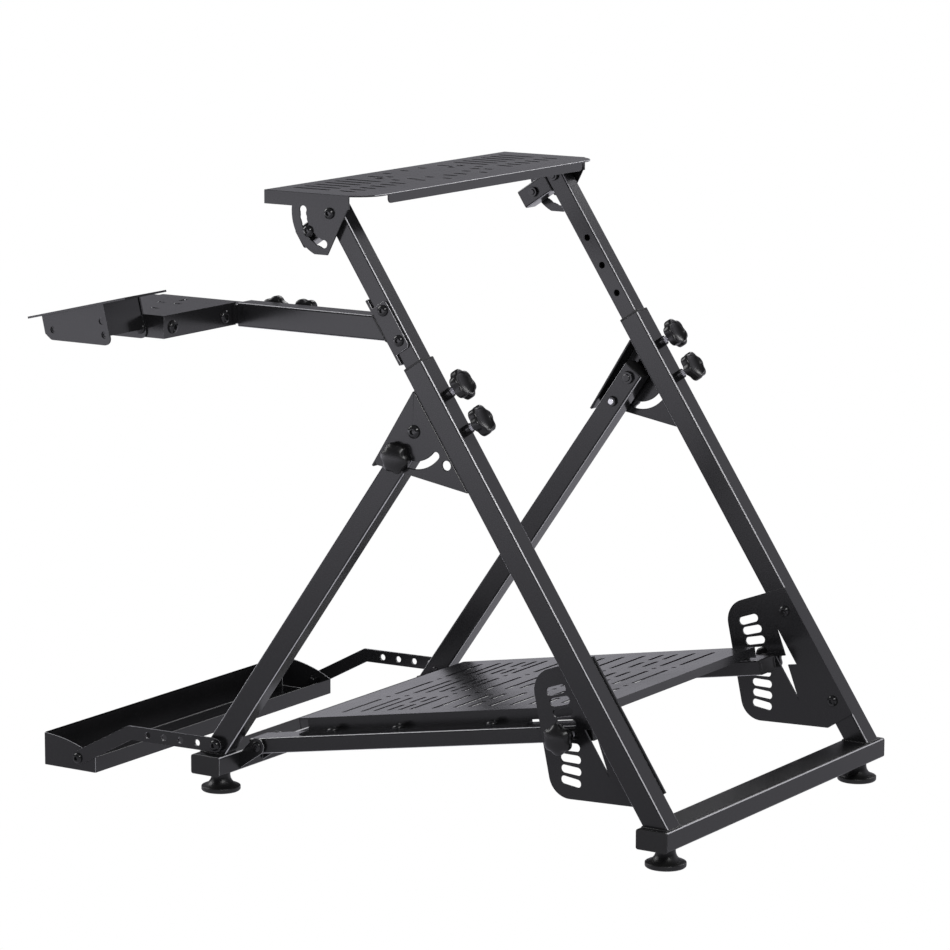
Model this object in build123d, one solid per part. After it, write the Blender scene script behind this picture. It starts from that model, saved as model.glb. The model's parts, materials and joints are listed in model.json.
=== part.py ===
import os
from math import atan2, cos, degrees, hypot, radians, sin

from build123d import *

# Racing wheel stand: an A-shaped folding frame of square tube.
# Millimetres, +Z up. The driver sits on the -Y side and looks along +Y; +X is the driver's right.
# The stand is laid out about its own middle plane and the front crossbar, then moved so that
# the origin is on the floor at the middle of the whole object's box.

# Crossbars and feet
crossbar_over = 10.0
crossbar_depth = 42.5
crossbar_height = 25.0
crossbar_wall = 1.5
crossbar_corner = 3.0
crossbar_cap = 2.5
foot_height = 26.0
foot_diameter = 50.0
foot_flange = 7.0
foot_neck = 24.0
foot_inset = 35.0
foot_stud = 10.0
foot_stud_length = 14.0
crossbar_spacing = 651.2

# Main tubes and the inner tubes that slide in them
lean_angle = 33.4
main_tube = 30.0
main_wall = 2.0
main_corner = 3.0
main_length = 625.0
main_centre = 255.0
collar_thickness = 3.0
collar_gap = 0.3
slide_gap = 0.5
slide_wall = 1.5
slide_corner = 2.5
slide_show = 223.0
slide_hidden = 245.0
side_hole = 9.0
side_hole_pitch = 41.5
side_hole_count = 4

# Bolts, in shares of their diameter
head_share = 1.75
head_height = 4.5
nut_share = 1.7
nut_height = 4.0
spacer_share = 1.8

# Clamp knobs
stud_diameter = 8.0
stud_gap = 0.3
fit_gap = 0.05
knob_diameter = 40.0
knob_thickness = 13.0
knob_lobes = 6
knob_lobe_radius = 8.0
knob_valley_radius = 5.0
knob_edge = 1.8
knob_hub = 17.0
knob_ring = 15.0
knob_ring_width = 1.3
knob_ring_depth = 1.2
knob_dome = 2.5
boss_diameter = 13.0
boss_height = 9.0
height_knob_below = 98.4
height_knob_gap = 9.4
height_knob_reach = 9.0
pedal_knob_reach = 18.0
fold_knob_reach = 0.5
shifter_knob_reach = 6.0

# Fold: gussets on the main tubes, rear legs hung on their pivot bolts
sheet = 3.0
leg_width = 25.0
leg_depth = 30.0
leg_wall = 1.5
leg_corner = 3.0
leg_over = 12.0
leg_clearance = 5.0
fold_pivot_below = 67.0
fold_pivot_back = 26.7
fold_pin = 10.0
fold_lock_radius = 41.0
fold_slot_reach = 86.0
fold_slot_start = 1.5
fold_slot_width = 9.5
gusset_below = 27.0
gusset_length = 139.0
gusset_apex_below = 46.0
gusset_beyond = 32.3
gusset_apex_round = 3.0
gusset_flange = 24.0
gusset_flange_lift = 2.5
gusset_flange_over = 3.6
gusset_hole = 12.0
gusset_hole_above = 42.5
gusset_hole_back = 8.3

# Fins with the pedal slots
fin_low = 33.0
fin_high = 217.0
fin_proud = 1.5
fin_top_slope = 22.0
fin_back_slope = 12.1
fin_bottom_slope = 2.1
fin_back_offset = 118.1
fin_bottom_rise = 15.2
fin_round = 29.0
fin_slot_count = 9
fin_slot_pitch = 14.17
fin_slot_length = 29.0
fin_slot_width = 10.4
fin_slot_turn = -5.3
fin_slot_arc = 240.0
fin_slot_heading = 11.3
fin_slot_along = 150.8
fin_slot_back = 68.4
flash_points = [
    (182.6, -21.4),
    (123.8, -21.6),
    (129.0, -33.1),
    (83.2, -43.6),
    (146.5, -43.4),
    (140.9, -30.5),
]

# Pedal deck, hinged in front of the rear crossbar
deck_pivot_forward = 26.0
deck_pivot_rise = 9.0
deck_arm_width = 40.0
deck_arm_height = 20.0
deck_arm_wall = 1.5
deck_arm_corner = 2.5
deck_side_gap = 8.0
deck_arm_rear = 12.0
deck_arm_over = 26.4
deck_rear = 42.0
deck_over = 22.0
deck_inset = 37.0
deck_height = 17.0
deck_foot = 22.0
deck_foot_short = 102.0
deck_foot_slant = 6.0
deck_foot_lift = 3.0
deck_sheet = 1.5
deck_front_lip = 11.0
deck_rear_lip = 14.0
deck_wall_short = 13.0
deck_slot_width = 6.5
deck_column_share = 0.625
deck_long_share = 0.725
deck_short_share = 0.3
deck_short_step = 0.4167
deck_dot = 7.0
deck_long_rows = [0.107, 0.172, 0.214, 0.337, 0.413, 0.484, 0.6, 0.67, 0.837, 0.902]
deck_short_rows = [0.261, 0.299, 0.533, 0.732, 0.779]
deck_dot_rows = [0.107, 0.172, 0.337, 0.413, 0.67, 0.837, 0.902]
hinge_pin = 8.0
hinge_side_gap = 1.5
hinge_lug_radius = 11.0

# Heel tray behind the rear crossbar, on two bent arms
tray_front = 183.8
tray_depth = 83.0
tray_sheet = 1.5
tray_back_height = 43.0
tray_front_height = 21.0
tray_end_sag = 5.0
tray_pivot_along_leg = 16.0
tray_arm_width = 18.0
tray_bend_before = 58.0
tray_arm_bend_height = 62.0
tray_bolt_in = 26.4
tray_bolt_height = 17.0
tray_arm_holes = 4
tray_arm_hole = 8.5
tray_arm_hole_first = 28.0
tray_arm_hole_pitch = 26.0
tray_pin = 8.0

# Wheel plate on quadrants at the top
tilt_pivot_in = 10.0
tilt_pin = 8.0
tilt_lock_back = 39.0
tilt_travel = 39.0
tilt_slot_width = 8.6
tilt_scallop = 10.0
tilt_scallop_count = 7
tilt_clearance = 5.5
stub_over = 21.0
wheel_rise = 22.9
wheel_sheet = 2.0
wheel_back = 96.7
wheel_depth = 150.0
wheel_corner = 40.0
wheel_flange = 17.0
wheel_front_flange = 12.0
wheel_flange_end = 6.0
wheel_flange_short = 25.0
wheel_lip_short = 9.0
quadrant_rim = 17.0
quadrant_tip = 3.0
quadrant_drop = 51.3
quadrant_knee = 10.0
wheel_pattern_half = 275.0
wheel_slot_width = 6.0
wheel_columns = 6
wheel_column_first = 123.5
wheel_column_pitch = 22.2
wheel_back_slot = (16.0, 70.0)
wheel_front_slot = (83.0, 107.0)
wheel_centre_slots = [
    (0, 16, 29),
    (40, 16, 29),
    (79.5, 20, 44),
    (70, 42, 53),
    (96, 67, 79),
    (73, 75, 90),
    (78, 91, 106),
    (42, 82, 95),
    (42, 108, 121),
    (11.5, 89, 110),
]
wheel_bolt_hole = 11.0
wheel_bolt_across = 186.0
wheel_bolt_depth = 47.0

# Shifter mount on the right inner tube
bracket_gap = 7.0
bracket_length = 90.0
bracket_side_inset = 13.0
bracket_hole_first = 26.0
bracket_side_front = 9.5
bracket_sheet = 4.0
bracket_corner = 5.0
arm_tube = 30.0
arm_wall = 2.0
arm_corner = 2.5
arm_on_bracket = 52.0
arm_reach = 210.0
arm_knob_first = 21.0
arm_knob_gap = 5.0
bar_gap = 0.5
bar_wall = 1.5
bar_corner = 2.5
bar_short = 30.0
shelf_gap = 5.0
shelf_depth = 128.0
shelf_width = 147.5
shelf_sheet = 2.0
shelf_flange = 28.0
shelf_slot_width = 6.0
shelf_slot_length = 13.0
shelf_slot_across = 46.0
shelf_slot_along = 25.0
shelf_side_slot = 16.0
shelf_side_across = 104.0
perch_width = 82.0
perch_lip = 11.0
perch_sheet = 2.5
perch_overhang = 15.0
perch_drop = 2.6
perch_angle = 13.3
perch_length = 151.0
perch_inset = 35.0
perch_wall = 1.3
perch_wall_low = 12.0
perch_wall_overlap = 6.0
perch_flange = 29.5
perch_heel = 7.0
perch_corner = 8.0
perch_hole = 8.5
perch_hole_in = 17.0
perch_hole_front_in = 2.5
perch_hole_up = 12.5
perch_hole_step = 16.5
perch_slot_width = 6.0
perch_slot_length = 24.0
perch_slot_pitch_across = 40.0
perch_slot_pitch_along = 60.0

# Worked-out places across the stand
bar_middle = foot_height + crossbar_height / 2
bar_top = foot_height + crossbar_height
lean = radians(lean_angle)
tube_half = main_tube / 2
outer_face = main_centre + tube_half
inner_face = main_centre - tube_half
crossbar_length = 2 * (outer_face + crossbar_over)
slide_tube = main_tube - 2 * main_wall - 2 * slide_gap
slide_half = slide_tube / 2
leg_outer = outer_face - sheet - leg_clearance
leg_centre = leg_outer - leg_width / 2
tray_half = leg_outer + leg_clearance
deck_arm_outer = inner_face - sheet - deck_side_gap
deck_half_width = deck_arm_outer - deck_inset
bar_tube = arm_tube - 2 * arm_wall - 2 * bar_gap
shelf_left = main_centre + bar_tube / 2
shelf_right = shelf_left + shelf_width
perch_left = shelf_right
perch_gap = perch_width - perch_lip

# Worked-out distances along the main tubes
slide_top = main_length + slide_show
slide_bottom = main_length - slide_hidden
height_knob_low = main_length - height_knob_below
height_knob_pitch = knob_diameter + height_knob_gap
gusset_top = main_length - gusset_below
gusset_bottom = gusset_top - gusset_length
gusset_height = fold_pivot_back + fold_lock_radius + gusset_beyond
bracket_low = main_length + collar_thickness + bracket_gap
bracket_high = bracket_low + bracket_length
side_hole_first = bracket_low + bracket_hole_first


def on_tube(along, front):
    """Depth and height of a point on the leaning main tube: distance along its axis and in front of it."""
    return (-along * sin(lean) + front * cos(lean), bar_top + along * cos(lean) + front * sin(lean))


fold_pivot = on_tube(main_length - fold_pivot_below, -tube_half - fold_pivot_back)
leg_foot = (-crossbar_spacing, bar_top)
leg_length = hypot(fold_pivot[0] - leg_foot[0], fold_pivot[1] - leg_foot[1])
leg_angle = atan2(fold_pivot[0] - leg_foot[0], fold_pivot[1] - leg_foot[1])


def on_leg(along, front=0.0):
    """Depth and height of a point on a rear leg: distance up from the crossbar and in front of its axis."""
    return (
        leg_foot[0] + along * sin(leg_angle) + front * cos(leg_angle),
        leg_foot[1] + along * cos(leg_angle) - front * sin(leg_angle),
    )


fold_lock = on_leg(leg_length - fold_lock_radius)
tray_pivot = on_leg(tray_pivot_along_leg)
tray_back = tray_front + tray_depth

# The pedal deck runs from its hinge to the middle slot of the fins
deck_pivot = (-crossbar_spacing + crossbar_depth / 2 + deck_pivot_forward, bar_top + deck_pivot_rise)
clamp_point = on_tube(fin_slot_along, -fin_slot_back)
deck_slot_radius = hypot(clamp_point[0] - deck_pivot[0], clamp_point[1] - deck_pivot[1])
deck_turn = atan2(clamp_point[1] - deck_pivot[1], clamp_point[0] - deck_pivot[0])
deck_front = deck_slot_radius + deck_over
deck_arm_front = deck_slot_radius + deck_arm_over


def on_deck(along, above):
    """Depth and height of a point on the pedal deck: distance from the hinge along the arms and above."""
    return (
        deck_pivot[0] + along * cos(deck_turn) - above * sin(deck_turn),
        deck_pivot[1] + along * sin(deck_turn) + above * cos(deck_turn),
    )


# The wheel plate is laid out from its pivot, the shifter mount from its bracket
tilt_pivot = on_tube(slide_top - tilt_pivot_in, 0)
tilt_lock = on_tube(slide_top - slide_half, -tilt_lock_back)
quadrant_radius = tilt_lock_back + quadrant_rim
wheel_top = tilt_pivot[1] + wheel_rise
wheel_user_edge = wheel_back - tilt_pivot[0]
wheel_front_edge = wheel_user_edge - wheel_depth
wheel_flange_front = wheel_front_edge + wheel_flange_short
arm_root, arm_height = on_tube(bracket_low + arm_on_bracket, -slide_half - bracket_sheet)
arm_end = arm_reach - arm_root
arm_knob_pitch = knob_diameter + arm_knob_gap
bar_inside = arm_reach - bar_short
shelf_start = arm_end + shelf_gap
shelf_end = shelf_start + shelf_depth
shelf_top = arm_height + arm_tube / 2
perch_user_edge = shelf_end + perch_overhang
perch_user_height = shelf_top - perch_drop
perch_flange_back = shelf_end
perch_flange_front = shelf_start + perch_inset
perch_flange_bottom = shelf_top - perch_flange
perch_hole_height = perch_flange_bottom + perch_hole_up

# The whole object's reach, and the move that puts the origin under its middle
right_reach = perch_left + perch_width
left_reach = outer_face + stud_gap + fold_knob_reach + knob_thickness + knob_dome
back_reach = crossbar_spacing + tray_back
front_reach = max(crossbar_depth, foot_diameter) / 2
middle_x = (right_reach - left_reach) / 2
middle_y = (front_reach - back_reach) / 2
to_origin = Location((-middle_x, -middle_y, 0))


# Planes and small shapes that several pieces share
def side_plane(x):
    """Faces +X: sketch x is depth, sketch y is height."""
    return Plane(origin=(x, 0, 0), x_dir=(0, 1, 0), z_dir=(1, 0, 0))


def tube_plane(x):
    """Across a main tube at the crossbar: z runs up the tube and y points to its front."""
    return Plane(origin=(x, 0, bar_top), x_dir=(1, 0, 0), z_dir=(0, -sin(lean), cos(lean)))


def leg_plane(x):
    return Plane(
        origin=(x, leg_foot[0], leg_foot[1]), x_dir=(1, 0, 0), z_dir=(0, sin(leg_angle), cos(leg_angle))
    )


def deck_plane(x=0.0):
    """Across the pedal deck at its hinge: z runs forward along the arms and y points down."""
    return Plane(
        origin=(x, deck_pivot[0], deck_pivot[1]), x_dir=(1, 0, 0), z_dir=(0, cos(deck_turn), sin(deck_turn))
    )


def along_y(x, y, z):
    """Sketch plane that extrudes towards the driver."""
    return Plane(origin=(x, y, z), x_dir=(1, 0, 0), z_dir=(0, -1, 0))


def tube_section(width, depth, wall, corner):
    outer = RectangleRounded(width, depth, corner)
    return outer - RectangleRounded(width - 2 * wall, depth - 2 * wall, max(corner - wall, 0.6))


def rod(x_from, x_to, point, diameter):
    """Cylinder along X between two places, at a depth and height."""
    return extrude(side_plane(x_from) * Pos(*point) * Circle(diameter / 2), x_to - x_from)


def mirrored(shape):
    return mirror(shape, Plane.YZ)


def pair(right):
    """A right-hand piece and its mirror image, as one node of two solids."""
    return Compound(children=[right, mirrored(right)])


def knob_outline():
    """Star outline of round lobes joined by round valleys, every arc tangent to the next."""
    half = radians(180 / knob_lobes)
    lobe = Vector(knob_diameter / 2 - knob_lobe_radius, 0)
    between = knob_lobe_radius + knob_valley_radius
    out = lobe.X * cos(half) + (between**2 - (lobe.X * sin(half)) ** 2) ** 0.5
    valley = Vector(out * cos(half), out * sin(half))
    touch = lobe + (valley - lobe).normalized() * knob_lobe_radius
    low = valley - valley.normalized() * knob_valley_radius
    lobe_arc = ThreePointArc((touch.X, -touch.Y), (knob_diameter / 2, 0), touch)
    valley_arc = ThreePointArc(touch, low, Vector(touch.X, -touch.Y).rotate(Axis.Z, 360 / knob_lobes))
    arcs = []
    for i in range(knob_lobes):
        turn = Rot(0, 0, i * 360 / knob_lobes)
        arcs += [turn * lobe_arc, turn * valley_arc]
    return make_face(arcs)


def star_knob(shank, reach, hub):
    """Clamp knob along +Z: stud tip at 0, hub from shank over its reach, then the lobed, domed head."""
    seat = shank + reach
    face = seat + knob_thickness
    head = Pos(0, 0, seat) * extrude(knob_outline(), knob_thickness)
    head = chamfer(head.edges().filter_by(Plane.XY), knob_edge)
    ring = Circle(knob_ring) - Circle(knob_ring - knob_ring_width)
    head -= Pos(0, 0, face - knob_ring_depth) * extrude(ring, knob_ring_depth)
    rim = knob_ring - knob_ring_width
    dome = Line((0, 0), (rim, 0)) + ThreePointArc((rim, 0), (rim / 2, knob_dome * 0.75), (0, knob_dome))
    dome += Line((0, knob_dome), (0, 0))
    head += Pos(0, 0, face) * revolve(Plane.XZ * make_face(dome), Axis.Z)
    stud = extrude(Circle(stud_diameter / 2), seat)
    return head + stud + Pos(0, 0, shank) * extrude(Circle(hub / 2), reach)


# Crossbars, their end caps and the levelling feet
def crossbar(y):
    tube_length = crossbar_length - 2 * crossbar_cap
    start = Plane(origin=(-tube_length / 2, y, bar_middle), x_dir=(0, 1, 0), z_dir=(1, 0, 0))
    section = tube_section(crossbar_depth, crossbar_height, crossbar_wall, crossbar_corner)
    bar = extrude(start * section, tube_length)
    for x in (-1, 1):
        hole = Pos(x * (crossbar_length / 2 - foot_inset), y, foot_height + crossbar_wall / 2)
        bar -= hole * Cylinder(foot_stud / 2 + fit_gap, crossbar_wall * 3)
    return bar


def crossbar_caps(y):
    face = Plane(origin=(crossbar_length / 2 - crossbar_cap, y, bar_middle), x_dir=(0, 1, 0), z_dir=(1, 0, 0))
    outline = RectangleRounded(crossbar_depth, crossbar_height, crossbar_corner)
    return pair(extrude(face * outline, crossbar_cap))


def feet(y):
    flange = foot_diameter / 2
    neck = foot_neck / 2
    top = foot_height
    stud = foot_stud / 2
    stud_top = top + foot_stud_length
    profile = Polyline(
        (0, 0),
        (flange - 1.5, 0),
        (flange, 1.5),
        (flange, foot_flange - 1),
        (flange - 2, foot_flange),
    )
    profile += ThreePointArc((flange - 2, foot_flange), (neck + 2.8, foot_flange + 5), (neck, top - 5))
    profile += Polyline((neck, top - 5), (neck, top), (stud, top), (stud, stud_top), (0, stud_top), (0, 0))
    foot = revolve(Plane.XZ * make_face(profile), Axis.Z)
    return pair(Pos(crossbar_length / 2 - foot_inset, y, 0) * foot)


# Main tubes with their collars and height clamps
def main_tube_piece():
    section = tube_section(main_tube, main_tube, main_wall, main_corner)
    tube = extrude(tube_plane(main_centre) * Pos(0, 0, -main_tube) * section, main_length + main_tube)
    tube -= Pos(main_centre, 0, bar_top - main_tube) * Box(2 * main_tube, 4 * main_tube, 2 * main_tube)
    for along in (height_knob_low, height_knob_low + height_knob_pitch):
        bore = Cylinder(stud_diameter / 2 + stud_gap, 2 * main_wall)
        tube -= tube_plane(main_centre) * Pos(0, tube_half, along) * Rot(90, 0, 0) * bore
    return tube


def sleeve_collar():
    opening = slide_tube + 2 * collar_gap
    ring = RectangleRounded(main_tube, main_tube, main_corner)
    ring -= RectangleRounded(opening, opening, slide_corner)
    return extrude(tube_plane(main_centre) * Pos(0, 0, main_length) * ring, collar_thickness)


def height_bosses():
    ring = Circle(boss_diameter / 2) - Circle(stud_diameter / 2 + stud_gap)
    bosses = []
    for along in (height_knob_low, height_knob_low + height_knob_pitch):
        place = tube_plane(main_centre) * Pos(0, tube_half, along) * Rot(-90, 0, 0)
        boss = place * extrude(ring, boss_height)
        bosses += [boss, mirrored(boss)]
    return Compound(children=bosses)


def height_knobs():
    tip = slide_half + stud_gap
    shank = tube_half + boss_height - tip
    knobs = []
    for along in (height_knob_low, height_knob_low + height_knob_pitch):
        knob = star_knob(shank, height_knob_reach, stud_diameter)
        knob = tube_plane(main_centre) * Pos(0, tip, along) * Rot(-90, 0, 0) * knob
        knobs += [knob, mirrored(knob)]
    return Compound(children=knobs)


# Gussets: a triangular plate on each main tube, flanged along its upper edge, slotted about the pivot
def gusset():
    back = -tube_half
    top = on_tube(gusset_top, back)
    apex = on_tube(gusset_top - gusset_apex_below, back - gusset_height)
    bottom = on_tube(gusset_bottom, back)
    outline = make_face(Polyline(top, apex, bottom, top))
    outline = fillet(outline.vertices().sort_by(Axis.X)[0], gusset_apex_round)
    leg_heading = degrees(atan2(fold_lock[1] - fold_pivot[1], fold_lock[0] - fold_pivot[0]))
    slot_arc = CenterArc(fold_pivot, fold_lock_radius, leg_heading - fold_slot_start, fold_slot_reach)
    outline -= trace(slot_arc, fold_slot_width)
    for end in (slot_arc @ 0, slot_arc @ 1):
        outline -= Pos(end.X, end.Y) * Circle(fold_slot_width / 2)
    hole = on_tube(gusset_bottom + gusset_hole_above, back - gusset_hole_back)
    outline -= Pos(*hole) * Circle(gusset_hole / 2)
    outline -= Pos(*fold_pivot) * Circle(fold_pin / 2 + fit_gap)
    plate = extrude(side_plane(outer_face - sheet) * outline, sheet)
    run = hypot(top[0] - apex[0], top[1] - apex[1])
    slope = degrees(atan2(top[1] - apex[1], top[0] - apex[0]))
    reach = run + gusset_flange_over - stud_gap
    middle = Pos((run - gusset_flange_over) / 2, gusset_flange_lift - sheet / 2)
    strip = Pos(*apex) * Rot(0, 0, slope) * middle * Rectangle(reach, sheet)
    flange = extrude(side_plane(outer_face - sheet - gusset_flange) * strip, gusset_flange + sheet)
    return plate + flange


def fold_pins():
    """Pivot bolt with its head outside the gusset, a spacer up to the leg and a nut inside the leg."""
    inside = leg_outer - leg_width - stud_gap
    pin = rod(inside, outer_face, fold_pivot, fold_pin)
    pin += rod(outer_face, outer_face + head_height, fold_pivot, fold_pin * head_share)
    pin += rod(leg_outer + stud_gap, outer_face - sheet, fold_pivot, fold_pin * spacer_share)
    pin += rod(inside - nut_height, inside, fold_pivot, fold_pin * nut_share)
    return pair(pin)


# Fins: the upright plates that hold the front ends of the pedal arms
def fin():
    back = -fin_back_offset
    front = tube_half + fin_proud
    top_front = Vector(*on_tube(fin_high, front))
    low_front = Vector(*on_tube(fin_low, front))
    reach = fin_high - fin_low
    top_line = Line(top_front, top_front - Vector(reach, reach * sin(radians(fin_top_slope))))
    back_turn = radians(fin_back_slope)
    back_point = Vector(*on_tube((fin_low + fin_high) / 2, back))
    back_line = Line(back_point, back_point + Vector(-reach * sin(back_turn), reach * cos(back_turn)))
    low_line = Line(low_front, low_front - Vector(reach * cos(lean), reach * sin(lean)))
    fin_bottom = bar_top + fin_bottom_rise
    bottom_line = Line((0, fin_bottom), (-reach, fin_bottom - reach * sin(radians(fin_bottom_slope))))
    corners = [
        top_front,
        meet(top_line, back_line),
        meet(back_line, bottom_line),
        meet(bottom_line, low_line),
        low_front,
    ]
    outline = make_face(Polyline(*corners, close=True))
    rounded = outline.vertices().sort_by(Axis.X)[:2]
    outline = fillet(rounded, fin_round)
    step = degrees(fin_slot_pitch / fin_slot_arc)
    arc_centre = Pos(*clamp_point) * Rot(0, 0, fin_slot_heading) * Pos(-fin_slot_arc, 0)
    for i in range(fin_slot_count):
        turn = step * (i - (fin_slot_count - 1) / 2)
        place = arc_centre * Rot(0, 0, turn) * Pos(fin_slot_arc, 0) * Rot(0, 0, fin_slot_turn)
        outline -= place * SlotOverall(fin_slot_length, fin_slot_width)
    outline -= make_face(Polyline(*[on_tube(*point) for point in flash_points], close=True))
    return extrude(side_plane(inner_face - sheet) * outline, sheet)


def meet(first, second):
    """Crossing point of two straight lines, taken as endless."""
    p, q = first @ 0, second @ 0
    d, e = first % 0, second % 0
    along = ((q.X - p.X) * e.Y - (q.Y - p.Y) * e.X) / (d.X * e.Y - d.Y * e.X)
    return p + d * along


def pedal_clamps():
    """Knob outside each fin; its stud stops just short of the pedal arm."""
    tip = deck_arm_outer + stud_gap
    knob = star_knob(inner_face - tip, pedal_knob_reach, knob_hub)
    return pair(Pos(tip, *clamp_point) * Rot(0, 90, 0) * knob)


# Rear legs
def rear_leg():
    section = tube_section(leg_width, leg_depth, leg_wall, leg_corner)
    leg = extrude(leg_plane(leg_centre) * Pos(0, 0, -leg_depth) * section, leg_length + leg_over + leg_depth)
    below = Box(2 * leg_width, 4 * leg_depth, 2 * leg_depth)
    leg -= Pos(leg_centre, leg_foot[0], bar_top - leg_depth) * below
    inside, outside = leg_outer - leg_width - 1, leg_outer + 1
    leg -= rod(inside, outside, fold_pivot, fold_pin + 2 * fit_gap)
    leg -= rod(inside, outside, fold_lock, stud_diameter + 2 * fit_gap)
    leg -= rod(inside, outside, tray_pivot, tray_pin + 2 * fit_gap)
    return leg


def fold_knobs():
    """Knob outside each gusset whose stud runs through the arc slot and the leg to a nut inside."""
    inside = leg_outer - leg_width
    knob = star_knob(outer_face + stud_gap - inside, fold_knob_reach, knob_hub)
    knob = Pos(inside, *fold_lock) * Rot(0, 90, 0) * knob
    nut = rod(inside - nut_height, inside, fold_lock, stud_diameter * nut_share)
    spacer = rod(leg_outer, outer_face - sheet - stud_gap, fold_lock, stud_diameter * spacer_share)
    return pair(knob + nut + spacer)


def tray_pins():
    inside = leg_outer - leg_width
    arm_out = tray_half + sheet + stud_gap
    pin = rod(inside, arm_out, tray_pivot, tray_pin)
    pin += rod(arm_out, arm_out + head_height, tray_pivot, tray_pin * head_share)
    pin += rod(leg_outer, tray_half - stud_gap, tray_pivot, tray_pin * spacer_share)
    return pair(pin)


# Pedal hinge brackets on the front of the rear crossbar
def hinge_bracket():
    face = -crossbar_spacing + crossbar_depth / 2
    lug_out = deck_arm_outer + hinge_side_gap
    lug_in = deck_arm_outer - deck_arm_width - hinge_side_gap - sheet
    low, high = foot_height + crossbar_corner, bar_top - crossbar_corner
    base = Pos((lug_in + lug_out + sheet) / 2, face + sheet / 2, (low + high) / 2) * Box(
        lug_out + sheet - lug_in, sheet, high - low
    )
    root = Polyline((face, low), (face, high))
    cheek = make_hull((root + CenterArc(deck_pivot, hinge_lug_radius, 0, 360)).edges())
    cheek -= Pos(*deck_pivot) * Circle(hinge_pin / 2 + fit_gap)
    bracket = base
    for x in (lug_in, lug_out):
        bracket += extrude(side_plane(x) * cheek, sheet)
    return bracket


def hinge_pins():
    lug_out = deck_arm_outer + hinge_side_gap + sheet
    lug_in = deck_arm_outer - deck_arm_width - hinge_side_gap - sheet
    pin = rod(lug_in, lug_out, deck_pivot, hinge_pin)
    pin += rod(lug_in - nut_height, lug_in, deck_pivot, hinge_pin * nut_share)
    return pair(pin)


# Pedal deck
def pedal_arm():
    centre = deck_arm_outer - deck_arm_width / 2
    section = tube_section(deck_arm_width, deck_arm_height, deck_arm_wall, deck_arm_corner)
    arm = extrude(deck_plane(centre) * Pos(0, 0, -deck_arm_rear) * section, deck_arm_rear + deck_arm_front)
    inside, outside = deck_arm_outer - deck_arm_width - 1, deck_arm_outer + 1
    return arm - rod(inside, outside, deck_pivot, hinge_pin + 2 * fit_gap)


def pedal_plate():
    """Hat section: slotted top, side walls and feet on the arms, with a lip across its front and rear."""
    seat = -deck_arm_height / 2
    top = seat - deck_height
    half, foot = deck_half_width, deck_half_width + deck_foot
    right = [
        (half, top),
        (half, seat - deck_sheet),
        (foot, seat - deck_sheet),
        (foot, seat),
        (half - deck_sheet, seat),
        (half - deck_sheet, top + deck_sheet),
    ]
    left = [(-x, y) for x, y in reversed(right)]
    section = make_face(Polyline(*right, *left, close=True))
    plate = extrude(deck_plane() * Pos(0, 0, deck_rear) * section, deck_front - deck_rear)
    lip = Pos(0, top + deck_front_lip / 2) * Rectangle(2 * (half - deck_sheet), deck_front_lip)
    plate += extrude(deck_plane() * Pos(0, 0, deck_front - deck_sheet) * lip, deck_sheet)
    wall = Pos(half, (top + seat + 2 * deck_sheet) / 2) * Rectangle(2.5 * deck_foot, deck_height)
    wall += mirror(wall, Plane.YZ)
    plate -= extrude(deck_plane() * Pos(0, 0, deck_rear) * wall, deck_wall_short)
    rear_lip = Pos(0, top + deck_rear_lip / 2) * Rectangle(2 * half, deck_rear_lip)
    plate += extrude(deck_plane() * Pos(0, 0, deck_rear) * rear_lip, deck_sheet)
    flat = deck_plane() * Rot(90, 0, 0)
    plate -= flat * Pos(0, 0, -seat) * extrude(foot_ends(), deck_foot_lift)
    return plate - flat * Pos(0, 0, -top) * extrude(deck_slots(), 2 * deck_sheet, both=True)


def foot_ends():
    """Plan of what is cut away at the front ends, where the feet stop and the walls clear the arms."""
    inside = deck_half_width - 2 * deck_sheet
    outside = deck_half_width + deck_foot + 1
    start, end = deck_front - deck_foot_short, deck_front + 1
    corners = [(inside, start), (outside, start + deck_foot_slant), (outside, end), (inside, end)]
    right = make_face(Polyline(*corners, close=True))
    return right + mirror(right, Plane.YZ)


def deck_slots():
    """Rows of long slots, of short slots in pairs and of round holes, in shares of the plate's size."""
    pitch = deck_half_width * deck_column_share
    long_slot = SlotOverall(pitch * deck_long_share, deck_slot_width)
    short_slot = SlotOverall(pitch * deck_short_share, deck_slot_width)
    slots = Sketch()
    for column in (-1, 0, 1):
        for row in deck_long_rows:
            slots += Pos(column * pitch, deck_row(row)) * long_slot
        for row in deck_short_rows:
            for side in (-0.5, 0.5):
                slots += Pos((column + side * deck_short_step) * pitch, deck_row(row)) * short_slot
    for row in deck_dot_rows:
        for side in (-0.5, 0.5):
            slots += Pos(side * pitch, deck_row(row)) * Circle(deck_dot / 2)
    return slots


def deck_row(share):
    return deck_rear + share * (deck_front - deck_rear)


# Heel tray and its arms
def heel_tray():
    front, back = -crossbar_spacing - tray_front, -crossbar_spacing - tray_back
    middle = ((front + back) / 2, (tray_front_height + tray_back_height) / 2 + tray_end_sag)
    end = Polyline((front, tray_front_height), (front, 0), (back, 0), (back, tray_back_height))
    end += ThreePointArc((back, tray_back_height), middle, (front, tray_front_height))
    end_plate = make_face(end)
    channel = make_face(
        Polyline(
            (front, 0),
            (back, 0),
            (back, tray_back_height),
            (back + tray_sheet, tray_back_height),
            (back + tray_sheet, tray_sheet),
            (front - tray_sheet, tray_sheet),
            (front - tray_sheet, tray_front_height),
            (front, tray_front_height),
            close=True,
        )
    )
    tray = extrude(side_plane(-tray_half) * channel, 2 * tray_half)
    for x in (-tray_half, tray_half - tray_sheet):
        tray += extrude(side_plane(x) * end_plate, tray_sheet)
    return tray


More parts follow.
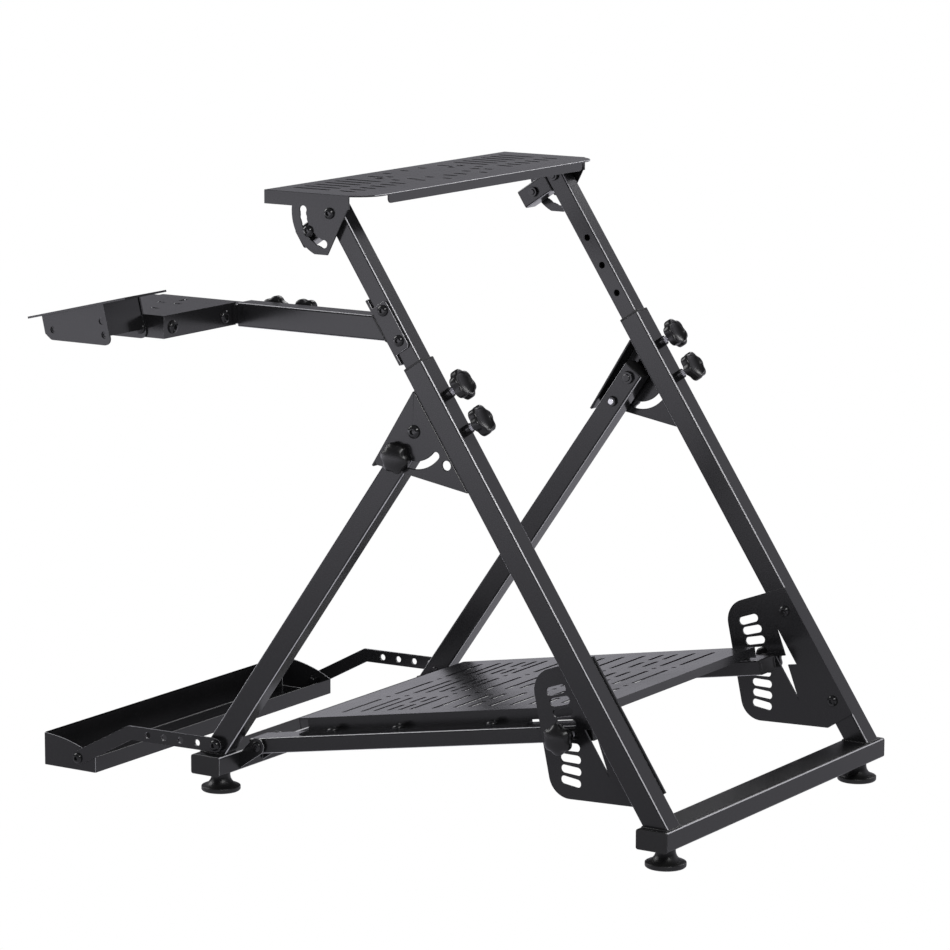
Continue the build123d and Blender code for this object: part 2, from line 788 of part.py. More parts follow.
def tray_arm():
    bend = (-crossbar_spacing - tray_front + tray_bend_before, tray_arm_bend_height)
    bolt = (-crossbar_spacing - tray_front - tray_bolt_in, tray_bolt_height)
    path = Polyline(tray_pivot, bend, bolt)
    outline = trace(path, tray_arm_width)
    for point in (tray_pivot, bend, bolt):
        outline += Pos(*point) * Circle(tray_arm_width / 2)
    outline -= Pos(*tray_pivot) * Circle(tray_pin / 2 + fit_gap)
    direction = (Vector(*bend) - Vector(*tray_pivot)).normalized()
    for i in range(tray_arm_holes):
        place = Vector(*tray_pivot) + direction * (tray_arm_hole_first + i * tray_arm_hole_pitch)
        outline -= Pos(place.X, place.Y) * Circle(tray_arm_hole / 2)
    return extrude(side_plane(tray_half) * outline, sheet)


# Inner tubes with the stubs that carry the wheel plate's locks
def slide_tube_piece(holes):
    section = tube_section(slide_tube, slide_tube, slide_wall, slide_corner)
    tube = extrude(tube_plane(main_centre) * Pos(0, 0, slide_bottom) * section, slide_top - slide_bottom)
    tube -= rod(inner_face, outer_face, tilt_pivot, tilt_pin + 2 * fit_gap)
    for along in holes:
        tube -= rod(inner_face, outer_face, on_tube(along, 0), side_hole)
    return tube


def tilt_stub():
    section = tube_section(slide_tube, slide_tube, slide_wall, slide_corner)
    out = tube_plane(main_centre) * Pos(0, -slide_half, slide_top - slide_half) * Rot(90, 0, 0)
    stub = out * extrude(section, tilt_lock_back + stub_over - slide_half)
    return stub - rod(inner_face, outer_face, tilt_lock, tilt_pin + 2 * fit_gap)


def tilt_bolts(point):
    """Bolt with a spacer between the tube and the wheel plate's side, its head outside and nut inside."""
    face = main_centre + slide_half
    inside = main_centre - slide_half
    plate_out = face + tilt_clearance + wheel_sheet + stud_gap
    bolt = rod(inside, plate_out, point, tilt_pin)
    bolt += rod(plate_out, plate_out + head_height, point, tilt_pin * head_share)
    bolt += rod(face, face + tilt_clearance - stud_gap, point, tilt_pin * spacer_share)
    bolt += rod(inside - nut_height, inside, point, tilt_pin * nut_share)
    return pair(bolt)


# Wheel plate: slotted sheet, front flange, and side flanges that hang down as quadrants
def wheel_plate():
    half = main_centre + slide_half + tilt_clearance + wheel_sheet
    user, front = -wheel_user_edge, -wheel_front_edge
    blank = Pos(0, (user + front) / 2) * Rectangle(2 * half, front - user)
    blank = fillet(blank.vertices().sort_by(Axis.Y)[2:], wheel_corner)
    blank -= Pos(0, user) * wheel_slots()
    plate = extrude(Pos(0, 0, wheel_top - wheel_sheet) * blank, wheel_sheet)
    lip = Rectangle(2 * (half - wheel_corner - wheel_lip_short), wheel_front_flange)
    lip = Pos(0, wheel_top - wheel_front_flange / 2) * lip
    lip = fillet(lip.vertices().sort_by(Axis.Y)[:2], wheel_flange_end)
    plate += extrude(along_y(0, front, 0) * lip, wheel_sheet)
    side = extrude(side_plane(half - wheel_sheet) * quadrant_outline(), wheel_sheet)
    return plate + side + mirrored(side)


def wheel_slots():
    """Right half of the slot pattern and its mirror image, from the driver's edge, spread over the plate."""
    spread = (main_centre + slide_half + tilt_clearance + wheel_sheet) / wheel_pattern_half
    places = list(wheel_centre_slots)
    for i in range(wheel_columns):
        across = wheel_column_first + i * wheel_column_pitch
        places += [(across, *wheel_back_slot), (across, *wheel_front_slot)]
    half = Pos(spread * wheel_bolt_across / 2, wheel_bolt_depth) * Circle(wheel_bolt_hole / 2)
    for across, start, end in places:
        slot = Rot(0, 0, 90) * SlotOverall(end - start, wheel_slot_width)
        half += Pos(spread * across, (start + end) / 2) * slot
    return half + mirror(half, Plane.YZ)


def quadrant_outline():
    user, flange_front = -wheel_user_edge, -wheel_flange_front
    low = wheel_top - wheel_flange
    knee = tilt_pivot[1] + quadrant_knee
    tip = (tilt_pivot[0] - quadrant_tip, tilt_pivot[1] - quadrant_drop)
    strip = make_face(
        Polyline((user, wheel_top), (user, low), (flange_front, low), (flange_front, wheel_top), close=True)
    )
    wedge = make_face(
        Polyline(
            (tilt_pivot[0] - quadrant_radius, low),
            (tilt_pivot[0] - quadrant_radius, tip[1]),
            tip,
            (flange_front, knee),
            (flange_front, low),
            close=True,
        )
    )
    outline = strip + (wedge & Pos(*tilt_pivot) * Circle(quadrant_radius))
    outline -= Pos(*tilt_pivot) * Circle(tilt_pin / 2 + fit_gap)
    lock_turn = degrees(atan2(tilt_lock[1] - tilt_pivot[1], tilt_lock[0] - tilt_pivot[0]))
    radius = hypot(tilt_lock[0] - tilt_pivot[0], tilt_lock[1] - tilt_pivot[1])
    arc = CenterArc(tilt_pivot, radius, lock_turn - tilt_travel - 1, 2 * tilt_travel + 2)
    outline -= trace(arc, tilt_slot_width)
    for i in range(tilt_scallop_count):
        place = arc @ (i / (tilt_scallop_count - 1))
        outline -= Pos(place.X, place.Y) * Circle(tilt_scallop / 2)
    return outline


# Shifter mount
def shifter_bracket():
    middle = (bracket_low + bracket_high) / 2
    back = slide_half + bracket_sheet
    face = main_centre + slide_half
    plane = tube_plane(main_centre)
    plate = Box(slide_tube + sheet, bracket_sheet, bracket_length)
    plate = plane * Pos(sheet / 2, -back + bracket_sheet / 2, middle) * plate
    side = Pos(slide_half + sheet / 2, (bracket_side_front - slide_half) / 2, middle)
    wing = Box(sheet, bracket_side_front + slide_half, bracket_length - 2 * bracket_side_inset)
    wing = fillet(wing.edges().filter_by(Axis.X).group_by(Axis.Y)[-1], bracket_corner)
    bracket = plate + plane * side * wing
    for along in (side_hole_first, side_hole_first + side_hole_pitch):
        bracket -= rod(face - 1, face + sheet + 1, on_tube(along, 0), side_hole)
    return bracket


def shifter_arm():
    section = tube_section(arm_tube, arm_tube, arm_wall, arm_corner)
    start = arm_root + 2 * arm_tube
    arm = extrude(along_y(main_centre, start, arm_height) * section, start + arm_end)
    cutter = Box(4 * arm_tube, 8 * arm_tube, 12 * arm_tube)
    front = -slide_half - bracket_sheet + 4 * arm_tube
    arm -= tube_plane(main_centre) * Pos(0, front, (bracket_low + bracket_high) / 2) * cutter
    for i in range(2):
        y = -arm_end + arm_knob_first + i * arm_knob_pitch
        arm -= rod(inner_face - 1, inner_face + arm_wall + 0.4, (y, arm_height), stud_diameter + 2 * stud_gap)
    return arm


def shifter_knobs():
    tip = main_centre - bar_tube / 2 - stud_gap
    knobs = []
    for i in range(2):
        y = -arm_end + arm_knob_first + i * arm_knob_pitch
        boss = rod(inner_face - boss_height, inner_face, (y, arm_height), boss_diameter)
        boss -= rod(inner_face - boss_height, inner_face, (y, arm_height), stud_diameter)
        knob = star_knob(tip - inner_face + boss_height, shifter_knob_reach, stud_diameter)
        knob = Pos(tip, y, arm_height) * Rot(0, -90, 0) * knob
        knobs.append(knob + boss)
    return Compound(children=knobs)


def shifter_bar():
    section = tube_section(bar_tube, bar_tube, bar_wall, bar_corner)
    start = along_y(main_centre, -arm_end + bar_inside, arm_height)
    return extrude(start * section, bar_inside + shelf_end - arm_end)


def shifter_shelf():
    """Slotted tray beside the bar, with flanges at its front, left and right."""
    middle = Pos((shelf_left + shelf_right) / 2, -(shelf_start + shelf_end) / 2, shelf_top)
    centre = middle * Pos(0, 0, -shelf_flange / 2)
    shelf = centre * Box(shelf_width, shelf_depth, shelf_flange)
    hollow = Box(shelf_width - 2 * shelf_sheet, shelf_depth + shelf_sheet, shelf_flange)
    shelf -= centre * Pos(0, -shelf_sheet, -shelf_sheet) * hollow
    slots = Sketch()
    for side in (-0.5, 0.5):
        slots += Pos(side * shelf_side_across, 0) * SlotOverall(shelf_side_slot, shelf_slot_width)
        for along in (-0.5, 0.5):
            place = Pos(side * shelf_slot_across, along * shelf_slot_along)
            slots += place * Rot(0, 0, 90) * SlotOverall(shelf_slot_length, shelf_slot_width)
    return shelf - middle * extrude(slots, 2 * shelf_sheet, both=True)


def shifter_perch():
    """Tilted plate with two flanges and an overlapped front wall, bolted to the right side of the shelf."""
    turn = radians(perch_angle)
    user = Vector(-perch_user_edge, perch_user_height)
    up = Vector(-sin(turn), cos(turn))
    front = user + Vector(cos(turn), sin(turn)) * perch_length
    sheet_face = make_face(
        Polyline(user, front, front - up * perch_sheet, user - up * perch_sheet, close=True)
    )
    perch = extrude(side_plane(perch_left) * sheet_face, perch_width)
    slots = Sketch()
    for across in (-0.5, 0.5):
        for along in (-0.5, 0.5):
            place = Pos(along * perch_slot_pitch_along, across * perch_slot_pitch_across)
            slots += place * Rot(0, 0, 90) * SlotOverall(perch_slot_length, perch_slot_width)
    middle = user + Vector(cos(turn), sin(turn)) * (perch_length / 2)
    top = Plane(
        origin=(perch_left + perch_sheet + perch_gap / 2, middle.X, middle.Y),
        x_dir=(0, cos(turn), sin(turn)),
        z_dir=(0, -sin(turn), cos(turn)),
    )
    perch -= top * extrude(slots, 2 * perch_sheet, both=True)

    def under(depth):
        return perch_user_height + (perch_user_edge - depth) * sin(turn) / cos(turn) - perch_sheet

    low_front = perch_flange_front - (under(perch_flange_front) - perch_flange_bottom) * sin(turn) / cos(turn)
    flange = make_face(
        Polyline(
            (-perch_flange_back, under(perch_flange_back)),
            (-perch_flange_back + perch_heel * 0.7, perch_flange_bottom + perch_heel),
            (-perch_flange_back + perch_heel * 2, perch_flange_bottom),
            (-low_front, perch_flange_bottom),
            (-perch_flange_front, under(perch_flange_front)),
            close=True,
        )
    )
    lowest = flange.vertices().sort_by(Axis.Y)[:2]
    flange = fillet(lowest, perch_corner)
    front_hole = -perch_flange_front - perch_hole_front_in
    for place in (
        (-perch_flange_back + perch_hole_in, perch_hole_height),
        (front_hole + perch_hole_step * sin(turn), perch_hole_height),
        (front_hole, perch_hole_height + perch_hole_step),
    ):
        flange -= Pos(*place) * Circle(perch_hole / 2)
    for x in (perch_left, perch_left + perch_gap):
        perch += extrude(side_plane(x) * flange, perch_sheet)
    corner = Vector(-perch_flange_front, under(perch_flange_front))
    inward = Vector(-cos(turn), -sin(turn)) * perch_wall
    foot = up * ((corner.Y - perch_flange_bottom - perch_wall_low) / cos(turn))
    head = up * (perch_sheet / 2)
    seam = perch_left + (perch_sheet + perch_gap) / 2
    for layer, x_from, x_to in (
        (0, seam - perch_wall_overlap / 2, perch_left + perch_gap),
        (1, perch_left + perch_sheet, seam + perch_wall_overlap / 2),
    ):
        near = corner + inward * layer
        far = near + inward
        wall = make_face(Polyline(near + head, far + head, far - foot, near - foot, close=True))
        perch += extrude(side_plane(x_from) * wall, x_to - x_from)
    return perch


def build():
    rear = -crossbar_spacing
    through = [side_hole_first + i * side_hole_pitch - side_hole_pitch for i in range(side_hole_count)]
    main = main_tube_piece()
    plate = gusset()
    flash_fin = fin()
    leg = rear_leg()
    bracket = hinge_bracket()
    arm = pedal_arm()
    link = tray_arm()
    stub = tilt_stub()
    nodes = {
        "front_crossbar": crossbar(0),
        "front_crossbar_caps": crossbar_caps(0),
        "front_feet": feet(0),
        "main_tube_right": main,
        "main_tube_left": mirrored(main),
        "sleeve_collars": pair(sleeve_collar()),
        "height_bosses": height_bosses(),
        "height_knobs": height_knobs(),
        "gusset_right": plate,
        "gusset_left": mirrored(plate),
        "fold_pins": fold_pins(),
        "fin_right": flash_fin,
        "fin_left": mirrored(flash_fin),
        "pedal_clamps": pedal_clamps(),
        "rear_crossbar": crossbar(rear),
        "rear_crossbar_caps": crossbar_caps(rear),
        "rear_feet": feet(rear),
        "rear_leg_right": leg,
        "rear_leg_left": mirrored(leg),
        "fold_knobs": fold_knobs(),
        "tray_pins": tray_pins(),
        "hinge_bracket_right": bracket,
        "hinge_bracket_left": mirrored(bracket),
        "hinge_pins": hinge_pins(),
        "pedal_arm_right": arm,
        "pedal_arm_left": mirrored(arm),
        "pedal_plate": pedal_plate(),
        "heel_tray": heel_tray(),
        "tray_arm_right": link,
        "tray_arm_left": mirrored(link),
        "inner_tube_right": slide_tube_piece(through[1:3]),
        "inner_tube_left": mirrored(slide_tube_piece(through)),
        "tilt_stub_right": stub,
        "tilt_stub_left": mirrored(stub),
        "tilt_pivots": tilt_bolts(tilt_pivot),
        "tilt_locks": tilt_bolts(tilt_lock),
        "wheel_plate": wheel_plate(),
        "shifter_bracket": shifter_bracket(),
        "shifter_arm": shifter_arm(),
        "shifter_knobs": shifter_knobs(),
        "shifter_bar": shifter_bar(),
        "shifter_shelf": shifter_shelf(),
        "shifter_perch": shifter_perch(),
    }
    return {name: to_origin * shape for name, shape in nodes.items()}


if __name__ == "__main__":
    os.makedirs("parts", exist_ok=True)
    for name, shape in build().items():
        export_step(shape, f"parts/{name}.step")
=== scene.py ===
import json
import math
import bmesh
import bpy
from mathutils import Matrix, Vector


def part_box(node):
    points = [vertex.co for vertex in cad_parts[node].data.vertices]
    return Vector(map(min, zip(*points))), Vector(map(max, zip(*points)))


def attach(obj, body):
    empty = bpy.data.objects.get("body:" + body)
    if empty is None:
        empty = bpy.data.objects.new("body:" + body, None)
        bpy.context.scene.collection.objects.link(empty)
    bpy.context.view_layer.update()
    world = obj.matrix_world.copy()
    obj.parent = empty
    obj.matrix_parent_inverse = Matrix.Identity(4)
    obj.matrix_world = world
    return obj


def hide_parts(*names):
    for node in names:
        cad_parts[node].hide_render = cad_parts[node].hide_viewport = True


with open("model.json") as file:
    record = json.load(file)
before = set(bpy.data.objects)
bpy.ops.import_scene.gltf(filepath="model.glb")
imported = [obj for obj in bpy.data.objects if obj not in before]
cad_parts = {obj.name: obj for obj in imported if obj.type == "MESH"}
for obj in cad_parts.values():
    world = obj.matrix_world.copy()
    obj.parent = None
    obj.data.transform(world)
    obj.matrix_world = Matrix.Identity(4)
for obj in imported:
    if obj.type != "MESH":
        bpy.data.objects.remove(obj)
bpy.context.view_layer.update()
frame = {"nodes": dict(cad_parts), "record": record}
nodes = frame["nodes"]
print("frame loaded:", len(nodes), "nodes")

# the stand's own middle: x at its mid plane, y at the front crossbar, z on the floor
barLow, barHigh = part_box("front_crossbar")
standMiddle = Vector(((barLow.x + barHigh.x) / 2, (barLow.y + barHigh.y) / 2, 0))


def at(x, y, z):
    # stand millimetres to the part's frame
    return standMiddle + Vector((x, y, z)) / 1000


# the lines that the fasteners sit on: degrees, and millimetres from the stand's middle
layout = {"lean": 33.4, "legLean": 34.92, "deckSlope": 9.695, "tubeFoot": 51.0, "tubeX": 255.0, "tubeHalf": 15.0,
          "innerHalf": 12.5, "legX": 249.5, "legY": -651.2, "legLong": 552.16, "stubAlong": 835.5, "armZ": 615.46,
          "deckPivot": (-603.95, 60.0), "perchY": (-717.96, -640.66), "perchZ": 613.46}
lean, legLean, deckSlope = (math.radians(layout[key]) for key in ("lean", "legLean", "deckSlope"))
sideways = Vector((1, 0, 0))
tubeUp = Vector((0, -math.sin(lean), math.cos(lean)))
tubeFront = Vector((0, math.cos(lean), math.sin(lean)))
legUp = Vector((0, math.sin(legLean), math.cos(legLean)))
deckAhead = Vector((0, math.cos(deckSlope), math.sin(deckSlope)))
deckUp = Vector((0, -math.sin(deckSlope), math.cos(deckSlope)))


def onTube(x, along, front=0.0):
    return Vector((x, 0, layout["tubeFoot"])) + tubeUp * along + tubeFront * front


def onDeck(x, along, above=0.0):
    return Vector((x, *layout["deckPivot"])) + deckAhead * along + deckUp * above


class Wire:
    # an output socket; sums on it add Math nodes
    def __init__(self, graph, socket):
        self.graph, self.socket = graph, socket

    def other(self, name):
        # another output of the same node
        return Wire(self.graph, self.socket.node.outputs[name])

    def __add__(self, other):
        return self.graph.sum("ADD", self, other)

    def __sub__(self, other):
        return self.graph.sum("SUBTRACT", self, other)

    def __mul__(self, other):
        return self.graph.sum("MULTIPLY", self, other)

    def __truediv__(self, other):
        return self.graph.sum("DIVIDE", self, other)

    def __pow__(self, other):
        return self.graph.sum("POWER", self, other)

    def __radd__(self, other):
        return self.graph.sum("ADD", other, self)

    def __rsub__(self, other):
        return self.graph.sum("SUBTRACT", other, self)

    def __rmul__(self, other):
        return self.graph.sum("MULTIPLY", other, self)

    def __rtruediv__(self, other):
        return self.graph.sum("DIVIDE", other, self)


class Graph:
    # a node tree and the one method that adds nodes to it
    def __init__(self, tree):
        self.tree = tree

    def add(self, kind, settings=None, sockets=None, out=0):
        node = self.tree.nodes.new(kind)
        for key, value in (settings or {}).items():
            setattr(node, key, value)
        for key, value in (sockets or {}).items():
            self.plug(node.inputs[key], value)
        return Wire(self, node.outputs[out]) if node.outputs else None

    def plug(self, socket, value):
        if isinstance(value, Wire):
            self.tree.links.new(value.socket, socket)
        else:
            socket.default_value = value

    def blend(self, share, a, b):
        return self.add("ShaderNodeMix", {"data_type": "RGBA"}, {0: share, 6: a, 7: b}, out=2)

    def sum(self, operation, a, b):
        return self.add("ShaderNodeMath", {"operation": operation}, {0: a, 1: b})

    def function(self, operation, a):
        return self.add("ShaderNodeMath", {"operation": operation}, {0: a})

    def ease(self, value, low, high):
        # 0 below low, 1 above high, smooth between
        return self.add("ShaderNodeMapRange", {"interpolation_type": "SMOOTHSTEP"},
                        {"Value": value, "From Min": low, "From Max": high})

    def noise(self, place, scale, detail, rough=0.5):
        return self.add("ShaderNodeTexNoise", None,
                        {"Vector": place, "Scale": scale, "Detail": detail, "Roughness": rough})

    def part(self, vector, axis):
        return self.add("ShaderNodeSeparateXYZ", None, {0: vector}, out=axis)

    def along(self, vector, way):
        # how far a vector goes one way
        return self.add("ShaderNodeVectorMath", {"operation": "DOT_PRODUCT"}, {0: vector, 1: way}, out="Value")

    def bump(self, height, strength, deep):
        return self.add("ShaderNodeBump", None, {"Strength": strength, "Distance": deep, "Height": height})


class Recipe(Graph):
    # a Geometry Nodes tree: places in, named sizes, one finish, a made piece out
    def __init__(self, name, sizes):
        Graph.__init__(self, bpy.data.node_groups.new(name, "GeometryNodeTree"))
        face = self.tree.interface
        face.new_socket("Places", in_out="INPUT", socket_type="NodeSocketGeometry")
        for key, kind in {**sizes, "Finish": "Material"}.items():
            face.new_socket(key, in_out="INPUT", socket_type="NodeSocket" + kind)
        face.new_socket("Made", in_out="OUTPUT", socket_type="NodeSocketGeometry")
        self.given = {"Places": self.add("NodeGroupInput")}
        for key in (*sizes, "Finish"):
            self.given[key] = self.given["Places"].other(key)

    def read(self, name, kind):
        return self.add("GeometryNodeInputNamedAttribute", {"data_type": kind}, {"Name": name}, out="Attribute")

    def soften(self, shape, angle):
        # smooth faces, with the edges past an angle kept sharp
        bend = self.add("GeometryNodeInputMeshEdgeAngle", out="Unsigned Angle")
        shape = self.add("GeometryNodeSetShadeSmooth", {"domain": "FACE"}, {0: shape, "Shade Smooth": True})
        return self.add("GeometryNodeSetShadeSmooth", {"domain": "EDGE"},
                        {0: shape, "Selection": self.sum("GREATER_THAN", bend, math.radians(angle)),
                         "Shade Smooth": False})

    def end(self, made):
        real = self.add("GeometryNodeRealizeInstances", None, {0: made})
        dressed = self.add("GeometryNodeSetMaterial", None, {0: real, "Material": self.given["Finish"]})
        self.add("NodeGroupOutput", None, {0: dressed})


def grey(value, blue=1.0):
    return (value, value, value * blue, 1)


def newFinish(name):
    material = bpy.data.materials.new(name)
    material.use_nodes = True
    material.node_tree.nodes.clear()
    return material, Graph(material.node_tree)


def close(graph, sockets):
    shader = graph.add("ShaderNodeBsdfPrincipled", None, sockets)
    graph.add("ShaderNodeOutputMaterial", None, {"Surface": shader})


# powder coat: satin black with fine orange peel, faint cloudiness and dust, and a painted highlight: a paler line
# painted along rounded corners; bend is a painted highlight line on upper edges that run across, for pieces that
# are square to the frame
coatLook = {"dark": 0.008, "light": 0.014, "blue": 1.06, "gloss": 0.5,
            "cloudScale": 6.0, "cloudDetail": 4.0, "cloudRough": 0.55, "cloudShare": 0.7, "speck": (0.62, 0.8),
            "rough": 0.21, "roughCloud": 0.10, "roughGrain": 0.02, "grainScale": 2300, "grainDetail": 1.0,
            "peel": 0.007, "peelScale": 420, "peelDetail": 2.0, "peelShare": 0.7, "peelDeep": 0.0004,
            "sheen": 0.60, "sheenBlue": 1.03, "sheenFrom": (0.28, 0.42), "sheenTo": (0.70, 0.80),
            "bend": 0.0, "bendFrom": (0.41, 0.47), "bendPast": -1.0, "bendFade": 0.001}


def powderCoat(name, **changes):
    look = {**coatLook, **changes}
    material, g = newFinish(name)
    place = g.add("ShaderNodeTexCoord", out="Object")
    cloud = g.noise(place, look["cloudScale"], look["cloudDetail"], look["cloudRough"])
    peel = g.noise(place, look["peelScale"], look["peelDetail"])
    grain = g.noise(place, look["grainScale"], look["grainDetail"])
    dustFrom, dustTo = look["speck"]
    speck = g.add("ShaderNodeMapRange", None, {"Value": grain, "From Min": dustFrom, "From Max": dustTo})
    tone = cloud * look["cloudShare"] + speck * (1 - look["cloudShare"])
    shade = g.blend(tone, grey(look["dark"], look["blue"]), grey(look["light"], look["blue"]))
    normal = g.add("ShaderNodeTexCoord", out="Normal")
    # painted highlight: the coat's colour is made paler along rounded corners, where the surface turns between
    # facing sideways and facing front, up or down
    sidewise = g.function("ABSOLUTE", g.part(normal, "X"))
    corner = g.ease(sidewise, *look["sheenFrom"]) * (1 - g.ease(sidewise, *look["sheenTo"]))
    shade = g.blend(corner, shade, grey(look["sheen"], look["sheenBlue"]))
    # painted highlight: a paler line on edges between an upper face and a front or back face, only forward of
    # bendPast
    if look["bend"]:
        past = g.ease(g.part(place, "Y"), look["bendPast"], look["bendPast"] + look["bendFade"])
        bend = g.ease(g.part(normal, "Y") * g.part(normal, "Z"), *look["bendFrom"]) * past
        shade = g.blend(bend, shade, grey(look["bend"], look["sheenBlue"]))
    height = peel * look["peelShare"] + grain * (1 - look["peelShare"])
    rough = look["rough"] + (cloud - 0.5) * look["roughCloud"] + (grain - 0.5) * look["roughGrain"]
    close(g, {"Base Color": shade, "Roughness": rough, "Normal": g.bump(height, look["peel"], look["peelDeep"]),
              "Specular IOR Level": look["gloss"]})
    return material


# moulded plastic: a little warmer and with a softer, coarser skin
plasticLook = {"dark": 0.008, "light": 0.014, "cloudScale": 18.0, "cloudDetail": 3.0, "rough": 0.42,
               "roughCloud": 0.14, "skin": 0.12, "skinScale": 900, "skinDeep": 0.0002}


def mouldedPlastic(name, **changes):
    look = {**plasticLook, **changes}
    material, g = newFinish(name)
    place = g.add("ShaderNodeTexCoord", out="Object")
    cloud = g.noise(place, look["cloudScale"], look["cloudDetail"])
    skin = g.add("ShaderNodeTexVoronoi", {"feature": "SMOOTH_F1"}, {"Vector": place, "Scale": look["skinScale"]})
    shade = g.blend(cloud, grey(look["dark"]), grey(look["light"]))
    rough = look["rough"] + (cloud - 0.5) * look["roughCloud"]
    close(g, {"Base Color": shade, "Roughness": rough, "Normal": g.bump(skin, look["skin"], look["skinDeep"])})
    return material


# zinc plate: pale metal with a faint drawn grain and duller patches
zincLook = {"dark": 0.75, "light": 0.95, "blue": 1.04, "cloudScale": 160.0, "cloudDetail": 3.0, "rough": 0.26,
            "roughCloud": 0.2, "grain": 0.1, "grainScale": 800, "grainDetail": 2.0, "grainDeep": 0.0001,
            "metal": 0.35}


def zincPlate(name, look=zincLook):
    material, g = newFinish(name)
    place = g.add("ShaderNodeTexCoord", out="Object")
    cloud = g.noise(place, look["cloudScale"], look["cloudDetail"])
    grain = g.noise(place, look["grainScale"], look["grainDetail"])
    shade = g.blend(cloud, grey(look["dark"], look["blue"]), grey(look["light"], look["blue"]))
    rough = look["rough"] + (cloud - 0.5) * look["roughCloud"]
    close(g, {"Base Color": shade, "Roughness": rough, "Normal": g.bump(grain, look["grain"], look["grainDeep"]),
              "Metallic": look["metal"]})
    return material


lipBand = 0.004  # how far back from its front edge the wheel plate's painted highlight line on its lip fold starts
lipEdge = max(corner[1] for corner in nodes["wheel_plate"].bound_box)
frameCoat = powderCoat("satinPowderCoat")
boltCoat = powderCoat("blackOxideBolt", dark=0.006, light=0.012, rough=0.13, peel=0.01, sheen=0.012)
knobPlastic = mouldedPlastic("knobPlastic", dark=0.004, light=0.008, rough=0.3, skin=0.02)
capPlastic = mouldedPlastic("capPlastic", rough=0.5)
footPlastic = mouldedPlastic("footPlastic", rough=0.38)
zincFinish = zincPlate("zincPlate")
weldCoat = powderCoat("coatedWeld", rough=0.33, sheen=0.015)
plateCoat = powderCoat("platePowderCoat", peel=0.003, sheen=0.015)
# the wheel plate's lip fold and the crossbars' upper edges get the painted highlight line of bend
foldCoat = powderCoat("foldPowderCoat", peel=0.003, sheen=0.015, bend=0.8, bendFrom=(0.06, 0.16),
                      bendPast=lipEdge - lipBand)
barCoat = powderCoat("barPowderCoat", peel=0.003, rough=0.3, bend=0.65)
slotFinish = {"frame_black": frameCoat, "bolt_black": boltCoat, "plastic_black": capPlastic,
              "knob_black": knobPlastic, "foot_black": footPlastic}
ownCoat = {"wheel_plate": foldCoat, "front_crossbar": barCoat, "rear_crossbar": barCoat,
           **dict.fromkeys(("pedal_plate", "fin_right", "fin_left", "gusset_right", "gusset_left"), plateCoat)}

# every CAD node keeps its shape; its edges are eased so that they catch the light
edgeEase = {"width": 0.0005, "foldWidth": 0.0009, "segments": 2, "angle": 30, "weld": 0.00004, "flat": 0.3}
unclamped = ("wheel_plate", "gusset_right", "gusset_left", "heel_tray", "shifter_bracket",
             "hinge_bracket_right", "hinge_bracket_left")
folded = ("pedal_plate", "shifter_shelf", "shifter_perch", "heel_tray", "gusset_right", "gusset_left",
          "shifter_bracket")
for part in frame["record"]["subparts"]:
    name = part["node"]
    node = nodes[name]
    node.data.materials.clear()
    node.data.materials.append(ownCoat.get(name, slotFinish[part["material_slot"]]))
    node.data.polygons.foreach_set("use_smooth", [True] * len(node.data.polygons))
    weld = node.modifiers.new("weld", "WELD")
    weld.merge_threshold = edgeEase["weld"]
    flat = node.modifiers.new("flat", "DECIMATE")
    flat.decimate_type = "DISSOLVE"
    flat.angle_limit = math.radians(edgeEase["flat"])
    ease = node.modifiers.new("ease", "BEVEL")
    ease.width = edgeEase["foldWidth" if name in folded else "width"]
    ease.segments = edgeEase["segments"]
    ease.limit_method = "ANGLE"
    ease.angle_limit = math.radians(edgeEase["angle"])
    ease.use_clamp_overlap = name not in unclamped
    normals = node.modifiers.new("normals", "WEIGHTED_NORMAL")
    normals.keep_sharp = False
print("finishes on", len(nodes), "nodes")

# turned pieces: a profile swept round, with star or six-sided rows, set on each place along its axis
turnedLook = {"valley": 1.5, "merge": 0.000002, "sharp": 34}
turned = Recipe("turnedPieces", {"Profile": "Object", "Around": "Int", "Lobes": "Float", "Lobe depth": "Float"})
g = turned
profile = g.add("GeometryNodeObjectInfo", {"transform_space": "ORIGINAL"}, {"Object": g.given["Profile"]},
                out="Geometry")
rowCount = g.add("GeometryNodeAttributeDomainSize", {"component": "MESH"}, {"Geometry": profile},
                 out="Point Count")
columns = g.given["Around"] + 1
grid = g.add("GeometryNodeMeshGrid", None, {"Vertices X": rowCount, "Vertices Y": columns}, out="Mesh")
number = g.add("GeometryNodeInputIndex")
row = g.function("FLOOR", (number + 0.5) / columns)
angle = (number - row * columns) / g.given["Around"] * (2 * math.pi)
sample = g.add("GeometryNodeSampleIndex", {"data_type": "FLOAT_VECTOR"},
               {"Geometry": profile, "Value": g.add("GeometryNodeInputPosition"), "Index": row})
radius = g.part(sample, "X")
shape, along = radius.other("Y"), radius.other("Z")
valley = ((1 - g.function("COSINE", angle * g.given["Lobes"])) / 2) ** turnedLook["valley"]
flatSide = math.cos(math.pi / 6) / g.function("COSINE", g.sum("MODULO", angle, math.pi / 3) - math.pi / 6)
star = 1 - g.sum("MAXIMUM", shape, 0.0) * g.given["Lobe depth"] * valley
sixSided = 1 + g.sum("MAXIMUM", 0.0 - shape, 0.0) * (flatSide - 1)
rim = radius * star * sixSided
spot = g.add("ShaderNodeCombineXYZ", None, {"X": rim * g.function("COSINE", angle),
                                            "Y": rim * g.function("SINE", angle), "Z": along})
swept = g.add("GeometryNodeSetPosition", None, {"Geometry": grid, "Position": spot})
closed = g.add("GeometryNodeMergeByDistance", None, {"Geometry": swept, "Distance": turnedLook["merge"]})
facing = g.add("FunctionNodeAlignRotationToVector", {"axis": "Z"}, {"Vector": g.read("axis", "FLOAT_VECTOR")})
